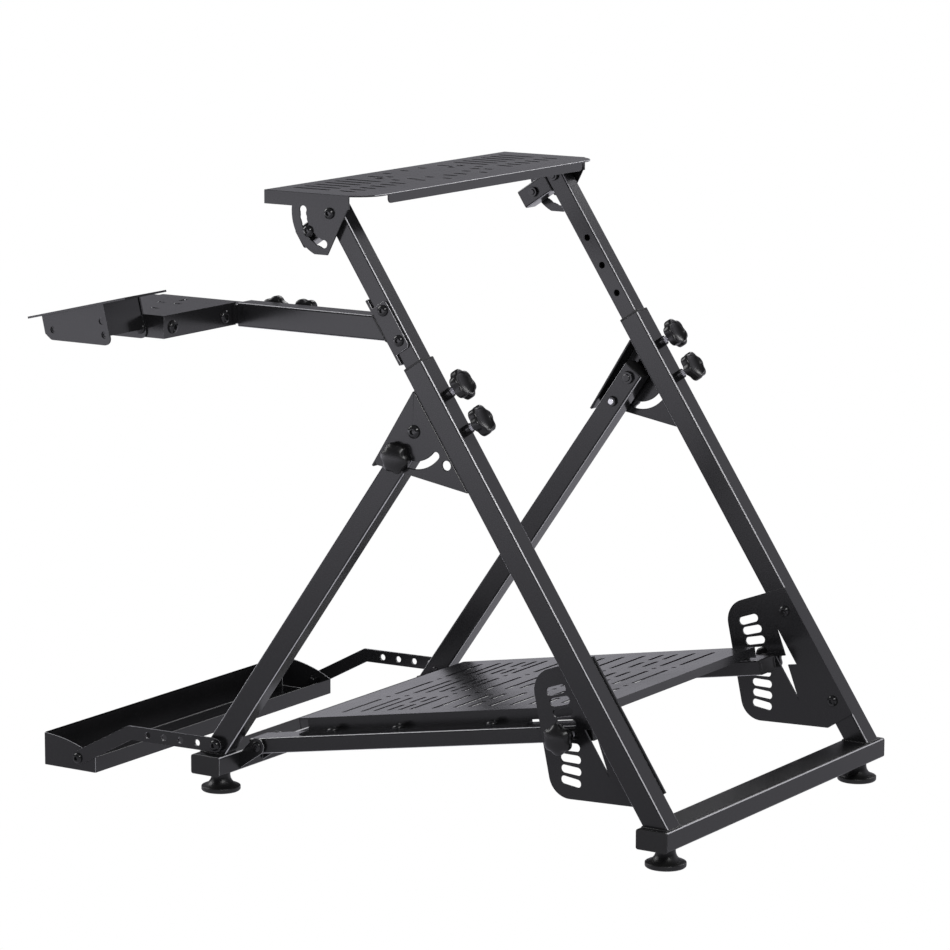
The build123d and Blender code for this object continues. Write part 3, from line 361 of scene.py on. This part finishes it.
stood = g.add("GeometryNodeInstanceOnPoints", None,
              {"Points": g.given["Places"], "Instance": g.soften(closed, turnedLook["sharp"]), "Rotation": facing})
twist = g.add("ShaderNodeCombineXYZ", None, {"Z": g.read("turn", "FLOAT")})
g.end(g.add("GeometryNodeRotateInstances", None, {"Instances": stood, "Rotation": twist, "Local Space": True}))

# weld beads: small flattened drops laid one on the next along a seam
dropLook = {"segments": 8, "rings": 5, "overlap": 1.3, "least": 0.85, "most": 1.15, "seed": 7, "sharp": 80}
welded = Recipe("weldBeads", {"Pitch": "Float", "Width": "Float", "Rise": "Float"})
g = welded
seam = g.add("GeometryNodeMeshToCurve", None, {"Mesh": g.given["Places"]})
dots = g.add("GeometryNodeCurveToPoints", {"mode": "LENGTH"}, {"Curve": seam, "Length": g.given["Pitch"]},
             out="Points")
tilt = g.add("FunctionNodeAlignRotationToVector", {"axis": "X"}, {"Vector": dots.other("Tangent")})
drop = g.add("GeometryNodeMeshUVSphere", None,
             {"Segments": dropLook["segments"], "Rings": dropLook["rings"], "Radius": 1.0}, out="Mesh")
jitter = g.add("FunctionNodeRandomValue", {"data_type": "FLOAT"},
               {"Min": dropLook["least"], "Max": dropLook["most"], "Seed": dropLook["seed"]}, out="Value")
size = g.add("ShaderNodeCombineXYZ", None, {"X": g.given["Pitch"] * dropLook["overlap"],
                                            "Y": g.given["Width"] * jitter, "Z": g.given["Rise"] * jitter})
g.end(g.add("GeometryNodeInstanceOnPoints", None,
            {"Points": dots, "Instance": g.soften(drop, dropLook["sharp"]), "Rotation": tilt, "Scale": size}))


def make(name, recipe, mesh, values, body, replaced=()):
    # runs a tree on its places once and keeps the plain mesh
    piece = bpy.data.objects.new(name, mesh)
    bpy.context.scene.collection.objects.link(piece)
    modifier = piece.modifiers.new("made", "NODES")
    modifier.node_group = recipe.tree
    for item in recipe.tree.interface.items_tree:
        if item.in_out == "INPUT" and item.name in values:
            modifier[item.identifier] = values[item.name]
    depsgraph = bpy.context.evaluated_depsgraph_get()
    plain = bpy.data.meshes.new_from_object(piece.evaluated_get(depsgraph), depsgraph=depsgraph)
    piece.modifiers.remove(modifier)
    piece.data = plain
    plain.name = name
    shell = bmesh.new()
    shell.from_mesh(plain)
    bmesh.ops.recalc_face_normals(shell, faces=shell.faces)
    shell.to_mesh(plain)
    shell.free()
    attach(piece, body)
    if replaced:
        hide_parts(*replaced)
    print(name, len(plain.polygons), "faces")


def turnedPiece(name, rows, places, finish, body, replaced=(), around=24, lobes=6.0, lobeDepth=0.0):
    # rows are (distance along the axis, radius, shape); shape 1 is lobed, -1 six-sided; all millimetres
    # places are (point, axis, degrees round the axis)
    line = bpy.data.meshes.new(name + "Profile")
    line.from_pydata([(r / 1000, shape, a / 1000) for a, r, shape in rows], [], [])
    outline = bpy.data.objects.new(name + "Profile", line)
    bpy.context.scene.collection.objects.link(outline)
    mesh = bpy.data.meshes.new(name + "Places")
    mesh.from_pydata([at(*point) for point, heading, twist in places], [], [])
    mesh.attributes.new("axis", "FLOAT_VECTOR", "POINT")
    mesh.attributes.new("turn", "FLOAT", "POINT")
    for i, (point, heading, twist) in enumerate(places):
        mesh.attributes["axis"].data[i].vector = heading
        mesh.attributes["turn"].data[i].value = math.radians(twist)
    values = {"Profile": outline, "Around": around, "Lobes": lobes, "Lobe depth": lobeDepth, "Finish": finish}
    make(name, turned, mesh, values, body, replaced)
    bpy.data.objects.remove(outline)


# parts of profiles, each from its seat outwards along the axis
headLook = {"rim": 0.2, "socket": 0.42, "crown": 1.32, "lead": 1.1, "leadDeep": 0.25, "deep": 0.6, "point": 0.3,
            "steps": 5}
nutLook = {"high": 4.0, "corner": 0.9, "chamfer": 0.5}
threadLook = {"radius": 4.0, "pitch": 1.25, "deep": 0.55, "crest": (0.45, 0.6)}


def buttonHead(seat, r, h, look=headLook):
    socket = r * look["socket"]
    last = math.acos(min(1.0, look["crown"] * socket / r))
    rows = [(seat, r, 0), (seat + h * look["rim"], r, 0)]
    for k in range(1, look["steps"] + 1):
        t = last * k / look["steps"]
        dome = look["rim"] + (1 - look["rim"]) * math.sin(t) / math.sin(last)
        rows.append((seat + h * dome, r * math.cos(t), 0))
    floorAt = seat + h * (1 - look["deep"])
    return rows + [(seat + h, socket * look["lead"], -1), (seat + h - look["leadDeep"], socket, -1),
                   (floorAt, socket, -1), (floorAt - look["point"], 0, 0)]


def hexNut(seat, r, bore, high=nutLook["high"]):
    corner, chamfer = r * nutLook["corner"], nutLook["chamfer"]
    return [(seat, corner, 0), (seat + chamfer, r, -1), (seat + high - chamfer, r, -1),
            (seat + high, corner, 0), (seat + high, bore, 0)]


def thread(start, end, look=threadLook):
    rows = []
    count = max(1, int((end - start) / look["pitch"]))
    step = (end - start) / count
    root = look["radius"] - look["deep"]
    for k in range(count):
        rows.append((start + k * step, root, 0))
        rows += [(start + (k + crest) * step, look["radius"], 0) for crest in look["crest"]]
    return rows + [(end, root, 0)]


def bothSides(y, z, twist=0.0):
    # one place on each side of the stand, measured out from its middle plane
    return [((0, y, z), (1, 0, 0), twist), ((0, y, z), (-1, 0, 0), -twist)]


# joint places in depth and height, millimetres
pivots = {"fold": (-341.98, 493.89), "lock": (-365.45, 460.27), "tray": (-642.04, 64.12),
          "clamp": (-140.12, 139.24), "tilt": (-461.30, 750.60), "tiltLock": (-492.49, 727.05),
          "trayEnd": (-861.4, 17.0)}
heightPlaces = [(onTube(side * layout["tubeX"], along), tubeFront, twist)
                for side in (1, -1) for along, twist in ((526.6, 14), (576.0, 40))]
shifterPlaces = [((242.2, y, layout["armZ"]), (-1, 0, 0), twist) for y, twist in ((-580.96, 8), (-535.96, 33))]

# star knobs: fluted edge with soft shoulders, and a dished face with a flat lobed rim or a plain domed one
knobLook = {"lobes": 6.0, "lobeDepth": 0.13, "around": 72, "neck": (7.6, 8.4), "neckEase": 0.8}
knobEdge = [(0, 0, 0), (0, 8.5, 0), (0.1, 13.5, 0.3), (0.3, 16.6, 0.85), (0.9, 18.3, 1), (1.9, 19.2, 1),
            (3.6, 19.5, 1)]
dishedKnob = knobEdge + [(9.6, 19.5, 1), (11.4, 19.2, 1), (12.5, 18.4, 0.97), (12.95, 17.3, 0.9),
                         (13.0, 16.2, 0.75), (12.9, 15.0, 0.45), (12.5, 14.4, 0.3), (11.6, 14.0, 0.2),
                         (10.8, 13.6, 0.1), (10.2, 12.6, 0), (9.1, 10.4, 0), (8.1, 7.6, 0), (7.4, 4.6, 0),
                         (7.05, 2.0, 0), (7.0, 0, 0)]
domedKnob = knobEdge + [(7.4, 19.4, 1), (8.9, 18.8, 1), (9.8, 17.9, 0.95), (10.5, 16.9, 0.8), (11.3, 15.9, 0.55),
                        (12.2, 14.6, 0.3), (13.1, 12.8, 0.12), (14.0, 10.4, 0), (14.7, 7.8, 0), (15.2, 5.0, 0),
                        (15.45, 2.2, 0), (15.5, 0, 0)]
# seat is where the knob's back stands, hub how far a plain neck reaches back from it
starKnobs = {
    "heightKnobStars": {"face": dishedKnob, "seat": 36.0, "hub": 0, "thick": 0.92, "places": heightPlaces,
                        "body": "main_frame", "replaced": "height_knobs"},
    "foldKnobStars": {"face": domedKnob, "seat": 270.8, "hub": 0.5, "thick": 1.0,
                      "places": bothSides(*pivots["lock"], 20), "body": "rear_frame", "replaced": "fold_knobs"},
    "pedalKnobStars": {"face": domedKnob, "seat": 258.0, "hub": 17.8, "thick": 1.0,
                       "places": bothSides(*pivots["clamp"], 5), "body": "main_frame", "replaced": "pedal_clamps"},
    "shifterKnobStars": {"face": dishedKnob, "seat": 17.2, "hub": 0, "thick": 1.0, "places": shifterPlaces,
                         "body": "upper_frame", "replaced": "shifter_knobs"},
}
for name, knob in starKnobs.items():
    rows = [(knob["seat"] + a * knob["thick"], r, shape) for a, r, shape in knob["face"]]
    if knob["hub"]:
        back, (low, high) = knob["seat"] - knob["hub"], knobLook["neck"]
        rows = [(back, 0, 0), (back, low, 0), (back + knobLook["neckEase"], high, 0)] + rows[1:]
    turnedPiece(name, rows, knob["places"], knobPlastic, knob["body"], (knob["replaced"],),
                around=knobLook["around"], lobes=knobLook["lobes"], lobeDepth=knobLook["lobeDepth"])

# zinc studs of the knobs: threaded from start to plain, then smooth to the end
studAround = 18
studs = {
    "heightStuds": {"start": 12.8, "plain": 37.2, "end": 37.2, "places": heightPlaces, "body": "main_frame"},
    "foldStuds": {"start": 231.6, "plain": 237.0, "end": 270.9, "places": bothSides(*pivots["lock"]),
                  "body": "rear_frame"},
    "clampStuds": {"start": 229.3, "plain": 240.4, "end": 240.4, "places": bothSides(*pivots["clamp"]),
                   "body": "main_frame"},
    "shifterStuds": {"start": 0, "plain": 17.3, "end": 17.3, "places": shifterPlaces, "body": "upper_frame"},
}
for name, stud in studs.items():
    rows = [(stud["start"], 0, 0), *thread(stud["start"], stud["plain"])]
    if stud["end"] > stud["plain"]:
        rows += [(stud[key], threadLook["radius"], 0) for key in ("plain", "end")]
    rows.append((stud["end"], 0, 0))
    turnedPiece(name, rows, stud["places"], zincFinish, stud["body"], around=studAround)
shifterBoss = [(2.2, 4.2, 0), (2.2, 6.5, 0), (10.7, 6.5, 0), (11.2, 6.0, 0), (11.2, 4.2, 0), (2.2, 4.2, 0)]
turnedPiece("shifterBosses", shifterBoss, shifterPlaces, frameCoat, "upper_frame")

# through bolts from the inside out: tip (place, radius), nut (seat, radius), spacer (from, to, radius) and
# button head (seat, radius, height)
throughBolts = {
    "foldBolts": {"shank": 5, "tip": (231.4, 4.3), "nut": (232.7, 8.6), "spacer": (262.3, 267.0, 9),
                  "head": (270.0, 8.4, 4.4), "places": bothSides(*pivots["fold"], 17), "body": "main_frame",
                  "replaced": ("fold_pins",)},
    "tiltBolts": {"shank": 4, "tip": (236.9, 3.4), "nut": (238.5, 6.9), "spacer": (267.5, 272.7, 7.2),
                  "head": (275.3, 7.0, 4.4), "body": "upper_frame", "replaced": ("tilt_pivots", "tilt_locks"),
                  "places": bothSides(*pivots["tilt"], 9) + bothSides(*pivots["tiltLock"], 24)},
    "trayPivotBolts": {"shank": 4, "tip": (235.4, 3.4), "nut": None, "spacer": (262.0, 266.7, 7.2),
                       "head": (270.3, 7.0, 4.4), "places": bothSides(*pivots["tray"], 11), "body": "rear_frame",
                       "replaced": ("tray_pins",)},
    "hingeBolts": {"shank": 4, "tip": None, "nut": (180.5, 6.9), "spacer": None, "head": (233.5, 6.6, 2.8),
                   "places": bothSides(*layout["deckPivot"], 28), "body": "rear_frame",
                   "replaced": ("hinge_pins",)},
}
tipChamfer = 0.5
for name, bolt in throughBolts.items():
    shank = bolt["shank"]
    if bolt["tip"]:
        end, r = bolt["tip"]
        rows = [(end, 0, 0), (end, r, 0), (end + tipChamfer, shank, 0)]
    else:
        rows = [(bolt["nut"][0], 0, 0)]
    if bolt["nut"]:
        rows += [(bolt["nut"][0], shank, 0)] if bolt["tip"] else []
        rows += hexNut(*bolt["nut"], shank)
    if bolt["spacer"]:
        low, high, r = bolt["spacer"]
        rows += [(low, shank, 0), (low, r, 0), (high, r, 0), (high, shank, 0)]
    rows += [(bolt["head"][0], shank, 0), *buttonHead(*bolt["head"])]
    turnedPiece(name, rows, bolt["places"], boltCoat, bolt["body"], bolt["replaced"])
lockNut = {"seat": 233.0, "radius": 6.9, "bore": 4.05}
lockRing = (lockNut["seat"], lockNut["bore"], 0)
turnedPiece("lockNuts", [lockRing, *hexNut(lockNut["seat"], lockNut["radius"], lockNut["bore"]), lockRing],
            bothSides(*pivots["lock"], 13), boltCoat, "rear_frame")

# bolts that only show a head, with its radius, and their nuts
headHigh, sunk = 4.2, 0.3
bolts = {
    "finBolts": ("main_frame", 7.2, [(onTube(side * 237, along), (-side, 0, 0), 10 * k)
                                     for side in (1, -1) for k, along in enumerate((191, 60))]),
    "bracketBolts": ("upper_frame", 7.0, [(onTube(270.5, along), (1, 0, 0), 12 * k)
                                          for k, along in enumerate((661, 702.5))]),
    "shelfBolts": ("shifter_slide", 8.2, [((x, -606.96, 615), (0, 1, 0), x) for x in (291, 397)]),
    "perchBolts": ("shifter_slide", 7.0, [((417.5, y, layout["perchZ"]), (1, 0, 0), y) for y in layout["perchY"]]),
    "trayEndBolts": ("tray", 7.0, [((side * 270, *pivots["trayEnd"]), (side, 0, 0), 21) for side in (1, -1)]),
    "deckBolts": ("pedal_deck", 8.0, [(onDeck(side * 203, along, 11.5), deckUp, along)
                                      for side in (1, -1) for along in (100, 200, 340)]),
}
for name, (body, r, places) in bolts.items():
    turnedPiece(name, [(-sunk, 0, 0), (-sunk, r, 0), *buttonHead(0, r, headHigh)], places, boltCoat, body)
flushScrew = [(-2.9, 0, 0), (-2.9, 4.2, 0), (-1.7, 4.2, 0), (-1.4, 3.9, 0), (-1.4, 2.9, -1), (-2.5, 2.7, -1),
              (-2.7, 0, 0)]
turnedPiece("perchScrews", flushScrew, [((488.5, y, layout["perchZ"]), (1, 0, 0), y) for y in layout["perchY"]],
            boltCoat, "shifter_slide")
nutEnd = {"washer": 8.2, "washerThick": 1.2, "radius": 6.9, "high": 4.6, "bore": 4.0, "tip": 7.6}
nutTop = nutEnd["washerThick"] + nutEnd["high"]
nutRows = [(-sunk, 0, 0), (-sunk, nutEnd["washer"], 0), (nutEnd["washerThick"], nutEnd["washer"], 0),
           *hexNut(nutEnd["washerThick"], nutEnd["radius"], nutEnd["bore"], nutEnd["high"]),
           *thread(nutTop, nutEnd["tip"]), (nutEnd["tip"], 0, 0)]
nuts = {
    "trayEndNuts": ("tray", [((side * 265.5, *pivots["trayEnd"]), (-side, 0, 0), 5) for side in (1, -1)]),
    "perchNuts": ("shifter_slide", [((413.0, y, layout["perchZ"]), (-1, 0, 0), 15) for y in layout["perchY"]]),
}
for name, (body, places) in nuts.items():
    turnedPiece(name, nutRows, places, boltCoat, body)

# welds at the feet of the tubes, the stubs, the gussets and the shifter's arm
weldLook = {"Pitch": 0.0016, "Width": 0.0019, "Rise": 0.0013}
seamLook = {"stitches": 3, "stitchShare": 0.55, "gussetX": 267, "gussetAlong": (462, 595), "stubHalf": 12.1,
            "bracketBack": -16.5, "barY": (-612, -730)}


def ring(corners):
    return [*corners, corners[0]]


def square(x, y, halfX, halfY):
    return [(x + dx * halfX, y + dy * halfY) for dx, dy in ((-1, -1), (1, -1), (1, 1), (-1, 1))]


def footSeam(side, x, halfX, y, halfY):
    return ring([(side * cx, cy, layout["tubeFoot"]) for cx, cy in square(x, y, halfX, halfY)])


def stitches(start, end):
    # short welds spaced along a line
    start, end = Vector(start), Vector(end)
    step = (end - start) / seamLook["stitches"]
    share = seamLook["stitchShare"]
    return [[start + step * (k + (1 + way * share) / 2) for way in (-1, 1)] for k in range(seamLook["stitches"])]


def onBracket(x, z):
    back = seamLook["bracketBack"]
    return onTube(x, (z - layout["tubeFoot"] - back * math.sin(lean)) / math.cos(lean), back)


tubeX, tubeHalf, innerHalf = (layout[key] for key in ("tubeX", "tubeHalf", "innerHalf"))
seams = {"main_frame": [], "rear_frame": [], "upper_frame": [], "shifter_slide": []}
for side in (1, -1):
    seams["main_frame"].append(footSeam(side, tubeX, tubeHalf, 0, tubeHalf / math.cos(lean)))
    seams["main_frame"] += stitches(*[onTube(side * seamLook["gussetX"], along, -tubeHalf)
                                      for along in seamLook["gussetAlong"]])
    seams["rear_frame"].append(footSeam(side, layout["legX"], innerHalf, layout["legY"],
                                        tubeHalf / math.cos(legLean)))
    seams["upper_frame"].append(ring([onTube(side * x, along, -innerHalf) for x, along in
                                      square(tubeX, layout["stubAlong"], innerHalf, seamLook["stubHalf"])]))
seams["upper_frame"].append(ring([onBracket(x, z) for x, z in square(tubeX, layout["armZ"], tubeHalf, tubeHalf)]))
seams["shifter_slide"] += stitches(*[(tubeX + innerHalf, y, layout["armZ"] + innerHalf)
                                     for y in seamLook["barY"]])
for body, paths in seams.items():
    mesh = bpy.data.meshes.new(body + "Seams")
    points, edges = [], []
    for path in paths:
        edges += [(len(points) + k, len(points) + k + 1) for k in range(len(path) - 1)]
        points += [at(*point) for point in path]
    mesh.from_pydata(points, edges, [])
    make("welds." + body, welded, mesh, {**weldLook, "Finish": weldCoat}, body)

# plastic plugs in the open tube ends: rimmed, with a slightly sunk middle
plugLook = {"sunk": 0.2, "proud": 1.4, "edge": 0.7, "ease": 0.3, "rim": 2.0, "step": 0.6, "floor": 3.4, "dip": 0.5,
            "corner": 2.5, "leastCorner": 0.4, "cornerSteps": 5, "sharp": 40}


def plugLoops(look):
    # (inset from the tube's outside, height over its end), from the tube inwards over the rim
    edge, proud = look["edge"], look["proud"]
    dip, step = proud - look["dip"], edge + look["rim"] + look["step"]
    eased = edge * look["ease"]
    return [(0, -look["sunk"]), (0, proud - edge), (eased, proud - eased), (edge, proud),
            (edge + look["rim"], proud), (step, dip), (step + look["floor"], dip)]


def tubePlugs(name, body, ends, look=plugLook):
    # ends are (centre, outward, width, height); the width runs sideways
    shell = bmesh.new()
    for centre, outward, width, height in ends:
        centre, outward = Vector(centre), Vector(outward)
        upward = outward.cross(sideways)
        loops = []
        for inset, rise in plugLoops(look):
            r = max(look["corner"] - inset, look["leastCorner"])
            loop = []
            for quarter in range(4):
                cx = (width / 2 - inset - r) * (1 if quarter in (0, 3) else -1)
                cy = (height / 2 - inset - r) * (1 if quarter in (0, 1) else -1)
                for k in range(look["cornerSteps"]):
                    t = math.pi / 2 * (quarter + k / (look["cornerSteps"] - 1))
                    point = centre + sideways * (cx + r * math.cos(t)) + upward * (cy + r * math.sin(t))
                    loop.append(shell.verts.new(at(*(point + outward * rise))))
            loops.append(loop)
        count = len(loops[0])
        for a, b in zip(loops, loops[1:]):
            for k in range(count):
                shell.faces.new((a[k], a[(k + 1) % count], b[(k + 1) % count], b[k]))
        shell.faces.new(loops[-1])
        shell.faces.new(list(reversed(loops[0])))
    bmesh.ops.recalc_face_normals(shell, faces=shell.faces)
    mesh = bpy.data.meshes.new(name)
    shell.to_mesh(mesh)
    shell.free()
    mesh.materials.append(capPlastic)
    mesh.polygons.foreach_set("use_smooth", [True] * len(mesh.polygons))
    mesh.set_sharp_from_angle(angle=math.radians(look["sharp"]))
    piece = bpy.data.objects.new(name, mesh)
    bpy.context.scene.collection.objects.link(piece)
    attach(piece, body)
    print(name, len(ends), "plugs")


inner, main = 2 * innerHalf, 2 * tubeHalf
plugs = {
    "deckArmPlugs": ("pedal_deck", [(onDeck(side * 209, along), deckAhead * way, 40, 20)
                                    for side in (1, -1) for along, way in ((496.95, 1), (-12.0, -1))]),
    "stubPlugs": ("upper_frame", [(onTube(side * tubeX, layout["stubAlong"], -60.0), -tubeFront, inner, inner)
                                  for side in (1, -1)]),
    "legPlugs": ("rear_frame", [(Vector((side * layout["legX"], layout["legY"], layout["tubeFoot"]))
                                 + legUp * layout["legLong"], legUp, inner, main) for side in (1, -1)]),
    "barPlug": ("shifter_slide", [((tubeX, -734.96, layout["armZ"]), (0, -1, 0), inner, inner)]),
}
for name, (body, ends) in plugs.items():
    tubePlugs(name, body, ends)

# floor and light: white and shadowless to the eye, a darker room with brighter sides to the stand's own faces
stage = {"size": 40.0, "floorSeen": 1.0, "felt": 0.48, "rightWay": (0.84, -0.54, 0.0), "rightReach": 3.4,
         "rightGain": 1.35, "rightBend": 2.0, "backWay": (-0.84, -0.54, 0.0), "backReach": 1.8, "backGain": 0.45,
         "low": 0.15, "lit": 0.42, "litWay": (-0.83, 0.46, 0.27), "litSpan": (0.78, 0.96),
         "behind": 0.6, "behindHigh": 0.14, "behindSpan": (0.75, 0.97), "tint": (1.0, 0.985, 1.08)}
floorMesh = bpy.data.meshes.new("paleFloor")
half = stage["size"] / 2
floorMesh.from_pydata([(-half, -half, 0), (half, -half, 0), (half, half, 0), (-half, half, 0)], [], [(0, 1, 2, 3)])
floor = bpy.data.objects.new("paleFloor", floorMesh)
bpy.context.scene.collection.objects.link(floor)
floorFinish, g = newFinish("paleFloor")
seen = g.add("ShaderNodeLightPath", out="Is Camera Ray")
place = g.add("ShaderNodeTexCoord", out="Object")
right, back = [g.add("ShaderNodeMapRange", None, {"Value": g.along(place, stage[key + "Way"]),
                                                  "From Max": stage[key + "Reach"]}) for key in ("right", "back")]
felt = stage["felt"] + stage["rightGain"] * right ** stage["rightBend"] + stage["backGain"] * back
bright = seen * stage["floorSeen"] + (1 - seen) * felt
shares = [seen * bright + (1 - seen) * bright * tint for tint in stage["tint"]]
close(g, {"Base Color": grey(0.0), "Roughness": 1.0, "Specular IOR Level": 0.0, "Emission Strength": 1.0,
          "Emission Color": g.add("ShaderNodeCombineXYZ", None, dict(zip("XYZ", shares)))})
floorMesh.materials.append(floorFinish)

world = bpy.data.worlds.new("studio")
bpy.context.scene.world = world
world.use_nodes = True
world.node_tree.nodes.clear()
g = Graph(world.node_tree)
heading = g.add("ShaderNodeTexCoord", out="Generated")
room = stage["low"] + stage["lit"] * g.ease(g.along(heading, stage["litWay"]), *stage["litSpan"])
level = 1 - g.ease(g.along(heading, (0, 0, 1)), 0.0, stage["behindHigh"])
room = room + stage["behind"] * level * g.ease(g.along(heading, stage["backWay"]), *stage["behindSpan"])
seen = g.add("ShaderNodeLightPath", out="Is Camera Ray")
tinted = g.blend(seen, (*stage["tint"], 1), grey(1.0))
backdrop = g.add("ShaderNodeBackground", None, {"Color": tinted, "Strength": seen + (1 - seen) * room})
g.add("ShaderNodeOutputWorld", None, {"Surface": backdrop})

# softboxes: metres and watts, each in a direction from the stand's middle with its longer side along another
boxMiddle = Vector((0, 0, 0.38))
softboxes = {
    "frontBox": {"way": (0.52, 0.61, 0.58), "distance": 3.6, "size": (2.6, 0.7), "power": 60,
                 "along": (-0.83, 0.46, 0.30)},
    "rearBox": {"way": (0.12, -0.85, 0.50), "distance": 3.2, "size": (1.8, 1.8), "power": 45, "along": (0, 0, 1)},
    "edgeBox": {"way": (-0.83, -0.08, 0.55), "distance": 3.6, "size": (2.4, 0.8), "power": 24, "along": (0, 1, 0)},
}
for name, box in softboxes.items():
    way, along = Vector(box["way"]).normalized(), Vector(box["along"])
    light = bpy.data.lights.new(name, "AREA")
    light.shape, light.energy = "RECTANGLE", box["power"]
    light.size, light.size_y = box["size"]
    lamp = bpy.data.objects.new(name, light)
    bpy.context.scene.collection.objects.link(lamp)
    longSide = (along - way * way.dot(along)).normalized()
    turn = Matrix((longSide, way.cross(longSide), way)).transposed().to_4x4()
    lamp.matrix_world = Matrix.Translation(boxMiddle + way * box["distance"]) @ turn
    lamp.visible_camera = False

# the photo's camera: stand millimetres and degrees
shot = {"place": (4367.38, 2363.86, 1335.37), "yaw": 32.58, "pitch": 10.32, "roll": 0.23, "lens": 156.82,
        "sensor": 36, "clip": 100}
yaw, pitch, roll = (math.radians(shot[key]) for key in ("yaw", "pitch", "roll"))
ahead = Vector((-math.cos(yaw) * math.cos(pitch), -math.sin(yaw) * math.cos(pitch), -math.sin(pitch)))
across = ahead.cross(Vector((0, 0, 1))).normalized()
upright = across.cross(ahead)
acrossShot = across * math.cos(roll) + upright * math.sin(roll)
upShot = upright * math.cos(roll) - across * math.sin(roll)
lens = bpy.data.cameras.new("shot")
lens.lens, lens.sensor_width, lens.clip_end = shot["lens"], shot["sensor"], shot["clip"]
camera = bpy.data.objects.new("shot", lens)
bpy.context.scene.collection.objects.link(camera)
turn = Matrix((acrossShot, upShot, -ahead)).transposed().to_4x4()
camera.matrix_world = Matrix.Translation(at(*shot["place"])) @ turn
bpy.context.scene.camera = camera
bpy.context.scene.view_settings.view_transform = "Standard"
print("studio ready")
